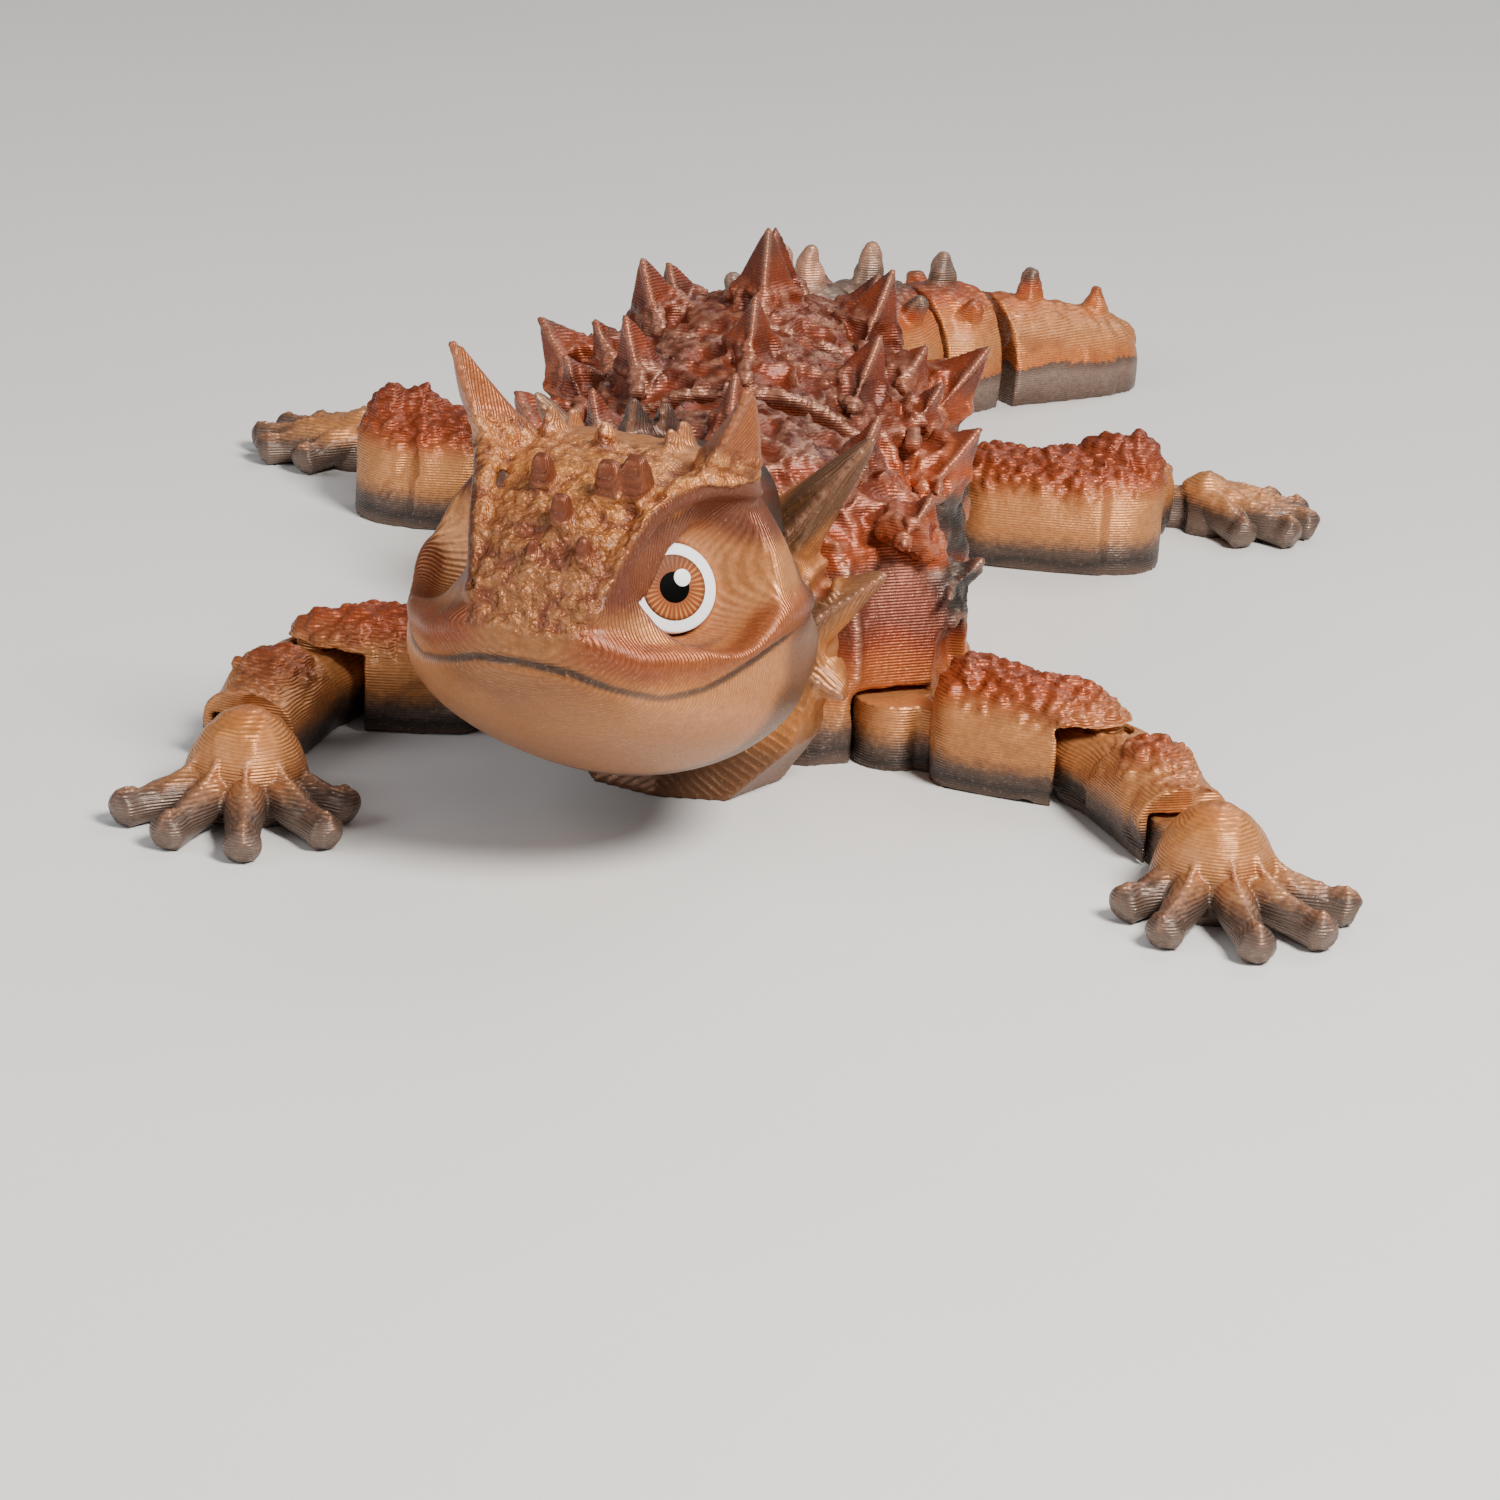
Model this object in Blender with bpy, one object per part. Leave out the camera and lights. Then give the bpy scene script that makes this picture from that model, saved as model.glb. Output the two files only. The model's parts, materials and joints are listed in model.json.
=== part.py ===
"""Articulated horned lizard toy: printed body segments, limbs and a curling tail on upright hinges."""

import math
import random

import bmesh
import bpy
from mathutils import Matrix, Vector

MM = 0.001
UP = Vector((0.0, 0.0, 1.0))
COLLECTION = "horned_lizard_toy"

# Joints: a drum on a bar turns in a pocket that is roofed above and open below
POCKET_GAP = 0.4
DRUM_SIDES = 16
BAR_SHARE = 0.55

# Body chain in plan, millimetres: pivots from the shoulders to the tail tip
SHOULDER_CENTRE = (-3.2, 3.0)
SHOULDER_TURN = 7.3
PIVOTS = {
    "head": (-6.2, -10.3),
    "neck": (-3.24, 1.2),
    "chest": (-2.2, 12.5),
    "belly": (-1.4, 27.0),
    "hip": (-0.9, 41.5),
    "tail_1": (-0.2, 60.2),
    "tail_2": (0.2, 71.0),
    "tail_3": (3.4, 80.6),
    "tail_4": (9.4, 88.3),
    "tail_5": (16.0, 92.4),
}
CHAIN = ("chest", "belly", "hip", "tail_1", "tail_2", "tail_3", "tail_4", "tail_5")
TAIL_5_TURN = 64.5
TAIL_5_LENGTH = 16.4
TAIL_5_END_RADIUS = 3.6
TAIL_6_TURN = -14.0
TAIL_6_LENGTH = 9.2
TAIL_7_TURN = -64.0
TAIL_7_LENGTH = 10.5
NECK_TURN = 14.4
HEAD_TURN = 20.0
HEAD_PITCH = 14.0
HEAD_AXIS_HEIGHT = 10.5

# Limbs: pivot places on the girdles, turns in degrees clockwise from the tail direction, lengths
SHOULDER_REACH = {"left": 13.0, "right": 11.8}
SHOULDER_BACK = -1.0
HIP_REACH = 11.4
HIP_BACK = 8.6
UPPER_ARM_LENGTH = 15.2
FOREARM_LENGTH = 12.0
PALM_REACH = 7.4
THIGH_LENGTH = 16.6
SHIN_LENGTH = 10.5
SOLE_REACH = 5.5
TURNS = {
    "left": {"upper_arm": 109.0, "forearm": 158.0, "hand": 167.0,
             "thigh": 95.0, "shin": 8.0, "foot": 92.0},
    "right": {"upper_arm": 266.0, "forearm": 195.4, "hand": 175.0,
              "thigh": 265.0, "shin": 10.0, "foot": 288.0},
}
SIDES = {"left": 1.0, "right": -1.0}

# Toes: angle from the hand's direction (toward the body positive) and reach from the palm's middle
HAND_TOES = ((66.0, 7.8), (35.0, 9.9), (0.0, 11.0), (-30.0, 10.4), (-61.0, 9.6))
FOOT_TOES = ((34.0, 7.4), (14.0, 8.6), (-8.0, 9.2), (-30.0, 8.6), (-58.0, 6.6))
TOE_WIDTH = 2.5

# Head, in its own frame: x to the toy's left, y back from the neck pivot, z up from the mouth
HEAD_LENGTH = 27.0
RIM = 2.1
HEAD_HALF_WIDTH = 12.8
CHEEK_LENGTH = 16.0
RIM_HALF_WIDTH = 9.6
JAW_DEPTH = 8.5
CHEEK_HEIGHTS = ((4.0, 5.5), (8.0, 9.0), (11.0, 12.3), (14.0, 13.0), (17.0, 11.0), (21.0, 7.6), (27.0, 5.0))
FOREHEAD = ((0.0, 1.5), (0.6, 5.2), (1.3, 7.4), (2.3, 9.4), (3.9, 11.3), (6.0, 12.6), (9.0, 13.3),
            (14.0, 13.7), (27.0, 13.9))
BROW_WIDTHS = ((0.0, 1.2), (0.6, 4.0), (1.3, 4.9), (2.3, 5.5), (3.9, 6.3), (6.0, 7.2), (8.5, 8.2),
               (11.0, 8.9), (14.0, 9.2), (20.0, 8.2), (27.0, 6.9))
EYE_CENTRE = (5.6, -15.4, 5.5)
EYE_FACING = (0.62, -0.74, 0.26)
EYE_RADIUS = 2.85
IRIS_RADIUS = 2.1
PUPIL_RADIUS = 1.0
GLINT_RADIUS = 0.6
EYE_GAP = 0.1

random.seed(7)
work = bpy.context.scene.collection
for old in list(bpy.data.objects):
    bpy.data.objects.remove(old, do_unlink=True)
part = bpy.data.collections.new(COLLECTION)
work.children.link(part)


def smooth(edge0, edge1, value):
    """Smooth step from 0 at edge0 to 1 at edge1."""
    share = min(1.0, max(0.0, (value - edge0) / (edge1 - edge0)))
    return share * share * (3.0 - 2.0 * share)


def mix(low, high, share):
    return low + (high - low) * share


def between(table, value):
    """Smoothly read a short table of (place, size) pairs."""
    for (place0, size0), (place1, size1) in zip(table, table[1:]):
        if value <= place1:
            return mix(size0, size1, smooth(place0, place1, value))
    return table[-1][1]


def plan_dir(turn):
    """Unit direction in plan for a turn in degrees clockwise from +Y."""
    return Vector((math.sin(math.radians(turn)), math.cos(math.radians(turn)), 0.0))


def turn_of(start, end):
    return math.degrees(math.atan2(end[0] - start[0], end[1] - start[1]))


def step(start, turn, length):
    direction = plan_dir(turn)
    return (start[0] + direction.x * length, start[1] + direction.y * length)


def temporary(name, bm):
    """Wrap a bmesh, in millimetres, as a closed mesh object with its faces pointing out."""
    bmesh.ops.recalc_face_normals(bm, faces=bm.faces)
    mesh = bpy.data.meshes.new(name)
    bm.to_mesh(mesh)
    bm.free()
    obj = bpy.data.objects.new(name, mesh)
    work.objects.link(obj)
    return obj


def loft(rings):
    """Skin a list of rings of equal count and close both ends with a fan."""
    bm = bmesh.new()
    rows = [[bm.verts.new(point) for point in ring] for ring in rings]
    count = len(rings[0])
    for low, high in zip(rows, rows[1:]):
        for i in range(count):
            j = (i + 1) % count
            bm.faces.new((low[i], low[j], high[j], high[i]))
    for row in (rows[0], rows[-1]):
        middle = bm.verts.new(sum((v.co for v in row), Vector()) / count)
        for i in range(count):
            bm.faces.new((row[i], row[(i + 1) % count], middle))
    return temporary("loft", bm)


def drum(radius, low, high, centre=(0.0, 0.0), sides=DRUM_SIDES):
    """Upright cylinder from the height low to the height high."""
    bm = bmesh.new()
    bmesh.ops.create_cone(bm, cap_ends=True, segments=sides, radius1=radius, radius2=radius, depth=high - low,
                          matrix=Matrix.Translation((centre[0], centre[1], (low + high) / 2)))
    return temporary("drum", bm)


def box(low, high):
    bm = bmesh.new()
    size = [b - a for a, b in zip(low, high)]
    middle = [(a + b) / 2 for a, b in zip(low, high)]
    bmesh.ops.create_cube(bm, size=1.0,
                          matrix=Matrix.Translation(middle) @ Matrix.Diagonal((*size, 1.0)))
    return temporary("box", bm)


def spine(root, direction, length, radius, sides=4, tip=0.28, sunk=0.35, flat=1.0):
    """Tapered spine whose base is sunk below root by a share of its length."""
    direction = Vector(direction).normalized()
    root = Vector(root)
    below = length * sunk
    middle = root + direction * (length - below) / 2
    turn = direction.to_track_quat("Z", "Y").to_matrix().to_4x4()
    bm = bmesh.new()
    bmesh.ops.create_cone(bm, cap_ends=True, segments=sides, radius1=radius * (1.0 + sunk), radius2=tip,
                          depth=length + below,
                          matrix=Matrix.Translation(middle) @ turn @ Matrix.Diagonal((1.0, flat, 1.0, 1.0)))
    return temporary("spine", bm)


def swept(points, radii, sides=7, flat=1.0):
    """Round bar through points with a radius at each, closed at both ends."""
    points = [Vector(p) for p in points]
    rings = []
    for i, (point, radius) in enumerate(zip(points, radii)):
        ahead = points[min(i + 1, len(points) - 1)] - points[max(i - 1, 0)]
        turn = ahead.to_track_quat("Z", "Y").to_matrix()
        ring = []
        for k in range(sides):
            angle = 2 * math.pi * k / sides
            offset = Vector((math.cos(angle) * radius * flat, math.sin(angle) * radius, 0.0))
            ring.append(point + turn @ offset)
        rings.append(ring)
    return loft(rings)


def keep_largest(obj):
    """Drop every closed surface but the one of largest extent."""
    bm = bmesh.new()
    bm.from_mesh(obj.data)
    left = set(bm.verts)
    shells = []
    while left:
        seed = left.pop()
        shell = {seed}
        front = [seed]
        while front:
            vert = front.pop()
            for edge in vert.link_edges:
                other = edge.other_vert(vert)
                if other in left:
                    left.remove(other)
                    shell.add(other)
                    front.append(other)
        shells.append(shell)

    def extent(shell):
        return sum(max(v.co[k] for v in shell) - min(v.co[k] for v in shell) for k in range(3))

    shells.sort(key=extent, reverse=True)
    for shell in shells[1:]:
        bmesh.ops.delete(bm, geom=list(shell), context="VERTS")
    bmesh.ops.dissolve_degenerate(bm, edges=bm.edges, dist=0.002)
    bmesh.ops.triangulate(bm, faces=bm.faces)
    bm.to_mesh(obj.data)
    bm.free()


def merge_near(obj, distance):
    """Merge the points that a cut leaves almost on one another, so that the next step finds no slivers."""
    bm = bmesh.new()
    bm.from_mesh(obj.data)
    bmesh.ops.remove_doubles(bm, verts=bm.verts, dist=distance)
    bmesh.ops.dissolve_degenerate(bm, edges=bm.edges, dist=distance / 4.0)
    bmesh.ops.triangulate(bm, faces=bm.faces)
    bm.to_mesh(obj.data)
    bm.free()
    return obj


def combine(target, tools, operation):
    """Join or cut the target with a collection of closed meshes, and remove them."""
    if not tools:
        return target
    group = bpy.data.collections.new("tools")
    for tool in tools:
        work.objects.unlink(tool)
        group.objects.link(tool)
    work.children.link(group)
    modifier = target.modifiers.new("combine", "BOOLEAN")
    modifier.operation = operation
    modifier.operand_type = "COLLECTION"
    modifier.collection = group
    modifier.solver = "EXACT"
    bpy.context.view_layer.update()
    result = bpy.data.meshes.new_from_object(target.evaluated_get(bpy.context.evaluated_depsgraph_get()))
    target.modifiers.clear()
    target.data = result
    for tool in list(group.objects):
        bpy.data.objects.remove(tool, do_unlink=True)
    bpy.data.collections.remove(group)
    return target


def material(name, colour, roughness, metallic=0.0):
    made = bpy.data.materials.get(name)
    if made is None:
        made = bpy.data.materials.new(name)
        made.use_nodes = True
        shader = made.node_tree.nodes["Principled BSDF"]
        shader.inputs["Base Color"].default_value = (*colour, 1.0)
        shader.inputs["Roughness"].default_value = roughness
        shader.inputs["Metallic"].default_value = metallic
    return made


def silk(name, colour):
    return material("silk_plastic_" + name, colour, 0.42, 0.25)


worlds = {}


def piece(name, parts, cuts, look, world, parent=None, pins=()):
    """Fuse parts, cut them, add pins and hang the object, in metres, on its parent at its joint axis."""
    obj = parts[0]
    combine(obj, parts[1:], "UNION")
    combine(obj, cuts, "DIFFERENCE")
    combine(obj, pins, "UNION")
    keep_largest(obj)
    obj.data.transform(Matrix.Diagonal((MM, MM, MM, 1.0)))
    obj.name = name
    obj.data.name = name
    obj.data.materials.clear()
    obj.data.materials.append(look)
    work.objects.unlink(obj)
    part.objects.link(obj)
    worlds[name] = world
    if parent is None:
        obj.matrix_basis = world
    else:
        obj.parent = bpy.data.objects[parent]
        obj.matrix_basis = worlds[parent].inverted() @ world
    return obj


def place(spot, turn, height=0.0):
    """World matrix, in metres, of a piece with its pivot over spot and its +Y along turn."""
    where = Matrix.Translation((spot[0] * MM, spot[1] * MM, height * MM))
    return where @ Matrix.Rotation(-math.radians(turn), 4, "Z")


# Rings and joints

DOME_STEPS = 12


def dome_ring(half_width, height, floor_half, waist, y_at, steps=DOME_STEPS, lean=0.0):
    """Section with a flat underside, walls that swell to the waist and an elliptic top."""
    points = [(0.0, 0.0), (floor_half, 0.0), (mix(floor_half, half_width, 0.75), waist * 0.45)]
    for i in range(steps + 1):
        angle = math.pi * i / steps
        points.append((half_width * math.cos(angle), waist + (height - waist) * math.sin(angle)))
    points.append((-mix(floor_half, half_width, 0.75), waist * 0.45))
    points.append((-floor_half, 0.0))
    return [Vector((x, y_at(x) + z * lean, z)) for x, z in points]


def even_shares(count):
    return [i / (count - 1) for i in range(count)]


def segment_body(front, rear, sizes, sweep_front, sweep_rear, shares, steps=DOME_STEPS,
                 lean_front=0.0, lean_rear=0.0):
    """Lofted body segment whose end faces sweep back in a shallow V to leave room to bend.

    sizes(share) gives half width, height, floor half width and waist height along the segment.
    """
    rings = []
    for share in shares:
        half_width, height, floor_half, waist = sizes(share)

        def y_at(x, share=share):
            ahead = front + abs(x) * math.tan(math.radians(sweep_front))
            behind = rear - abs(x) * math.tan(math.radians(sweep_rear))
            return mix(ahead, behind, share)

        rings.append(dome_ring(half_width, height, floor_half, waist, y_at, steps,
                               mix(lean_front, lean_rear, share)))
    return loft(rings)


def tongue(radius, height, reach, low=0.0):
    """Drum on the pivot and the bar that joins it to the piece behind it."""
    half = radius * BAR_SHARE
    return [drum(radius, low, height), box((-half, 0.0, low), (half, reach, height))]


def pocket(radius, height, centre, mouth=None, low=-1.0, bar_share=BAR_SHARE):
    """Cutters for the pocket that a tongue turns in and, where asked, the mouth its bar swings in.

    mouth gives the turns between which the bar swings, in the piece's own frame, and its reach.
    """
    top = height + POCKET_GAP
    cutters = [drum(radius + POCKET_GAP, low, top, centre)]
    if mouth:
        first, last, reach = mouth
        half = radius * bar_share + POCKET_GAP
        outline = []
        for turn, side in ((first, -1.0), (last, 1.0)):
            along = plan_dir(turn)
            across = plan_dir(turn + 90.0) * side * half
            edge = [across, across + along * reach]
            outline += edge if side < 0.0 else edge[::-1]
        outline.insert(2, plan_dir((first + last) / 2) * reach)
        middle = Vector((centre[0], centre[1], 0.0))
        cutters.append(loft([[middle + spot + UP * z for spot in outline] for z in (low, top - 0.02)]))
    return cutters


def clearance(centre, first, last, near, far, half, top):
    """Cutter that clears the space which the root of a limb swings through."""
    bm = bmesh.new()
    middle = Vector((centre[0], centre[1], 0.0))
    for turn in (first, last):
        for reach in (near, far):
            for side in (-half, half):
                for z in (-1.0, top):
                    bm.verts.new(middle + plan_dir(turn) * reach + plan_dir(turn + 90.0) * side + UP * z)
    bmesh.ops.convex_hull(bm, input=bm.verts)
    return temporary("clearance", bm)


# Spines

def dome_point(half_width, height, waist, degrees_up, y):
    """Point on the dome, and its outward direction, at an angle up from the toy's left."""
    angle = math.radians(degrees_up)
    point = Vector((half_width * math.cos(angle), y, waist + (height - waist) * math.sin(angle)))
    normal = Vector((math.cos(angle) / half_width, 0.0, math.sin(angle) / (height - waist))).normalized()
    return point, normal


def spine_rows(rows, sizes, front, rear, back_lean=0.0):
    """Spines in mirrored pairs: rows hold angle up from the side, share along, length and radius."""
    made = []
    for degrees_up, share, length, radius in rows:
        half_width, height, floor_half, waist = sizes(share)
        for side in ((1.0,) if degrees_up == 90.0 else (1.0, -1.0)):
            point, normal = dome_point(half_width, height, waist, degrees_up, mix(front, rear, share))
            point.x *= side
            normal.x *= side
            direction = (normal + Vector((0.0, back_lean, 0.35))).normalized()
            vary = random.uniform(0.92, 1.08)
            made.append(spine(point, direction, length * vary, radius, flat=random.uniform(0.75, 0.95)))
    return made


# Body segments

SHOULDER_FRONT = -5.2
SHOULDER_REAR = 12.1
FACE_GAP = 0.5


def shoulder_sizes(share):
    along = mix(SHOULDER_FRONT, SHOULDER_REAR, share)
    swell = smooth(-6.5, 2.0, along)
    half_width = mix(9.8, 17.3, swell) - 1.2 * smooth(5.0, SHOULDER_REAR, along)
    return half_width, mix(19.3, 20.4, swell), mix(7.4, 15.6, smooth(-6.0, -0.6, along)), 6.0


def even_sizes(start, end, pinch=0.0, waist_share=0.32, floor_share=0.92):
    """Sizes that run evenly from (half width, height) at the front to the same at the rear.

    Both ends narrow by shares of pinch, which leaves a crest across the middle.
    """
    def sizes(share):
        half_width = mix(start[0], end[0], share) * (1.0 + 0.05 * math.sin(math.pi * share))
        half_width *= 1.0 - pinch * (1.0 - smooth(0.0, 0.5, share)) - pinch * 0.35 * smooth(0.72, 1.0, share)
        height = mix(start[1], end[1], share) * (1.0 + 0.03 * math.sin(math.pi * share))
        return half_width, height, half_width * floor_share, height * waist_share
    return sizes


BODY = {
    "chest": {"sizes": even_sizes((15.6, 20.8), (15.8, 21.4), 0.18),
              "tongue": (5.2, 7.0, 2.6), "sweep": (6.0, 6.0)},
    "belly": {"sizes": even_sizes((15.8, 21.2), (15.0, 20.6), 0.18),
              "tongue": (5.2, 7.0, 2.6), "sweep": (6.0, 6.0)},
    "hip": {"sizes": even_sizes((14.4, 19.6), (10.6, 15.6), 0.16),
            "tongue": (5.2, 7.0, 2.6), "sweep": (6.0, 10.0)},
    "tail_1": {"sizes": even_sizes((9.8, 14.8), (8.8, 13.2), 0.12),
               "tongue": (3.6, 5.0, 1.8), "sweep": (10.0, 10.0)},
    "tail_2": {"sizes": even_sizes((8.4, 12.8), (7.4, 11.4), 0.12),
               "tongue": (3.2, 4.6, 1.6), "sweep": (11.0, 11.0)},
    "tail_3": {"sizes": even_sizes((7.1, 11.2), (6.3, 10.2), 0.12),
               "tongue": (2.8, 4.2, 1.4), "sweep": (11.0, 11.0)},
    "tail_4": {"sizes": even_sizes((6.1, 10.0), (5.5, 9.2), 0.12),
               "tongue": (2.5, 3.8, 1.3), "sweep": (11.0, 8.0)},
    "tail_5": {"sizes": even_sizes((5.3, 8.8), (3.5, 5.6)), "tongue": (2.3, 3.4, 1.2), "sweep": (8.0, 0.0)},
}
SPINES = {
    "chest": ((90.0, 0.5, 4.4, 2.6), (62.0, 0.4, 4.4, 2.5), (44.0, 0.64, 3.0, 2.0), (32.0, 0.45, 4.2, 3.0)),
    "belly": ((90.0, 0.5, 5.8, 3.2), (62.0, 0.5, 5.0, 2.8), (46.0, 0.3, 3.0, 2.0), (34.0, 0.6, 5.0, 3.2)),
    "hip": ((90.0, 0.35, 4.8, 2.6), (60.0, 0.3, 4.2, 2.4), (52.0, 0.72, 3.0, 1.9), (30.0, 0.25, 3.6, 2.4)),
    "tail_1": ((90.0, 0.5, 3.6, 1.5), (48.0, 0.5, 2.8, 1.3)),
    "tail_2": ((90.0, 0.5, 3.4, 1.4), (48.0, 0.5, 2.4, 1.2)),
    "tail_3": ((90.0, 0.5, 3.0, 1.3), (48.0, 0.5, 2.0, 1.0)),
    "tail_4": ((90.0, 0.45, 2.8, 1.2), (48.0, 0.5, 1.6, 0.9)),
    "tail_5": ((90.0, 0.28, 2.4, 1.1), (90.0, 0.72, 2.2, 1.0)),
}
SHOULDER_SPINES = ((90.0, 0.58, 4.0, 1.9), (60.0, 0.6, 3.8, 1.9), (42.0, 0.42, 3.0, 2.2),
                   (22.0, 0.6, 2.4, 1.8))


def chain_turn(name):
    """Direction of a chain segment, from its own pivot to the next one."""
    if name == "tail_5":
        return TAIL_5_TURN
    return turn_of(PIVOTS[name], PIVOTS[CHAIN[CHAIN.index(name) + 1]])


def chain_length(name):
    if name == "tail_5":
        return TAIL_5_LENGTH
    return math.dist(PIVOTS[name], PIVOTS[CHAIN[CHAIN.index(name) + 1]])


def local_spot(spot, centre, turn):
    """Plan point seen from a centre whose +Y runs along turn."""
    offset = Vector((spot[0] - centre[0], spot[1] - centre[1], 0.0))
    seen = Matrix.Rotation(math.radians(turn), 3, "Z") @ offset
    return (seen.x, seen.y)


def girdle_spot(centre, turn, reach, back, side):
    left = plan_dir(turn + 90.0)
    along = plan_dir(turn)
    return (centre[0] + left.x * reach * side + along.x * back,
            centre[1] + left.y * reach * side + along.y * back)


NECK_TONGUE = (4.0, 3.4, 8.4)
HEAD_TONGUE = (3.2, 6.2, 14.2)
ARM_TONGUE = (2.7, 4.6)
HAND_TONGUE = (2.2, 3.2)
THIGH_TONGUE = (3.0, 5.0)
SHIN_TONGUE = (2.4, 4.0)
FOOT_TONGUE = (2.0, 3.0)
TIP_TONGUE = (1.6, 2.6)


def build_shoulder():
    """Root segment: the neck, chest and both arms turn in its pockets."""
    body = segment_body(SHOULDER_FRONT, SHOULDER_REAR, shoulder_sizes, 5.0, 9.0, even_shares(7),
                        lean_front=HEAD_LEAN)
    spines = spine_rows(SHOULDER_SPINES, shoulder_sizes, SHOULDER_FRONT, SHOULDER_REAR)
    chest_radius, chest_height, chest_depth = BODY["chest"]["tongue"]
    neck_radius, neck_low, neck_high = NECK_TONGUE
    cuts = pocket(neck_radius, neck_high, local_spot(PIVOTS["neck"], SHOULDER_CENTRE, SHOULDER_TURN),
                  low=neck_low - POCKET_GAP)
    cuts += pocket(chest_radius, chest_height, local_spot(PIVOTS["chest"], SHOULDER_CENTRE, SHOULDER_TURN))
    for side_name, side in SIDES.items():
        socket = (SHOULDER_REACH[side_name] * side, SHOULDER_BACK)
        rest = side * 100.0
        cuts += pocket(*ARM_TONGUE, socket, mouth=(rest - 22.0, rest + 22.0, 6.0))
        cuts.append(clearance(socket, rest - 12.0, rest + 12.0, 3.0, 9.0, 4.4, 8.9))
    return piece("shoulders", [body] + spines, cuts, silk("red_brown", (0.30, 0.10, 0.05)),
                 place(SHOULDER_CENTRE, SHOULDER_TURN))


def build_chain():
    """Body and tail segments from the chest to the last long tail segment."""
    parent = "shoulders"
    for index, name in enumerate(CHAIN):
        size = BODY[name]
        length = chain_length(name)
        radius, height, depth = size["tongue"]
        front = depth + FACE_GAP
        trunk = name in ("chest", "belly", "hip")
        cuts = []
        if name == "tail_5":
            rear = length
            shares = [0.0, 0.4, 0.74, 0.86, 0.94, 0.985]
            end = (0.0, length - TAIL_5_END_RADIUS)
            cuts += pocket(*TIP_TONGUE, end, mouth=(TAIL_6_TURN - TAIL_5_TURN - 6.0, 6.0, 6.0))
        else:
            rear = length + BODY[CHAIN[index + 1]]["tongue"][2]
            shares = even_shares(5)
            next_radius, next_height, next_depth = BODY[CHAIN[index + 1]]["tongue"]
            cuts += pocket(next_radius, next_height, (0.0, length))
        sizes = size["sizes"]
        if name == "tail_5":
            sizes = rounded_end(sizes, front, rear, TAIL_5_END_RADIUS)
        body = segment_body(front, rear, sizes, *size["sweep"], shares, DOME_STEPS if trunk else 8)
        spines = spine_rows(SPINES[name], size["sizes"], front, rear)
        if name == "hip":
            for side in SIDES.values():
                cuts += pocket(*THIGH_TONGUE, (HIP_REACH * side, HIP_BACK),
                               mouth=(side * 92.0 - 20.0, side * 92.0 + 20.0, 6.0))
        piece(name, [body] + tongue(radius, height, front + 2.0) + spines, cuts,
              silk("brown", (0.33, 0.13, 0.07)), place(PIVOTS[name], chain_turn(name)), parent)
        parent = name


def rounded_end(sizes, front, rear, radius):
    """Narrow the end of a segment to a round of the given radius in plan."""
    def narrowed(share):
        half_width, height, floor_half, waist = sizes(share)
        past = mix(front, rear, share) - (rear - radius)
        if past > 0.0:
            limit = math.sqrt(max(0.0, radius * radius - past * past))
            shrink = limit / half_width
            return limit, mix(height * 0.75, height, shrink), limit * 0.95, waist
        return half_width, height, floor_half, waist
    return narrowed


def build_tail_tip():
    """Two small segments that curl back behind the last long one."""
    tail_5_end = step(PIVOTS["tail_5"], TAIL_5_TURN, TAIL_5_LENGTH - TAIL_5_END_RADIUS)
    front = TAIL_5_END_RADIUS + 2.6 * FACE_GAP
    sizes = even_sizes((2.9, 4.0), (2.3, 3.4))
    last_pivot = TAIL_6_LENGTH
    body = segment_body(front, last_pivot + 1.4, sizes, 0.0, 22.0, even_shares(3), 6)
    knob = spine_rows(((90.0, 0.5, 1.2, 0.7),), sizes, front, last_pivot)
    cuts = pocket(1.2, 1.7, (0.0, last_pivot), mouth=(-64.0, 0.0, 4.0))
    piece("tail_6", [body] + tongue(*TIP_TONGUE, front + 1.0) + knob, cuts, silk("brown", (0.33, 0.13, 0.07)),
          place(tail_5_end, TAIL_6_TURN), "tail_5")
    tip_spot = step(tail_5_end, TAIL_6_TURN, last_pivot)
    tip_sizes = even_sizes((2.1, 3.2), (0.5, 1.2))
    tip = segment_body(1.9, TAIL_7_LENGTH, tip_sizes, 22.0, 0.0, even_shares(4), 6)
    piece("tail_7", [tip] + tongue(1.2, 1.7, 2.6), [], silk("brown", (0.33, 0.13, 0.07)),
          place(tip_spot, TAIL_7_TURN), "tail_6")


# Neck and head

HEAD_LEAN = math.tan(math.radians(HEAD_PITCH))
NECK_FRONT = -11.75
NECK_REAR = -4.1
NECK_HORNS = ((52.0, (11.6, -4.9, 24.6), 2.3), (22.0, (13.0, -4.5, 15.4), 1.8), (0.0, (11.4, -6.9, 7.2), 1.5))


def neck_sizes(share):
    return mix(9.6, 10.0, share), mix(19.4, 19.8, share), mix(4.6, 7.0, share), 8.0


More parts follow.
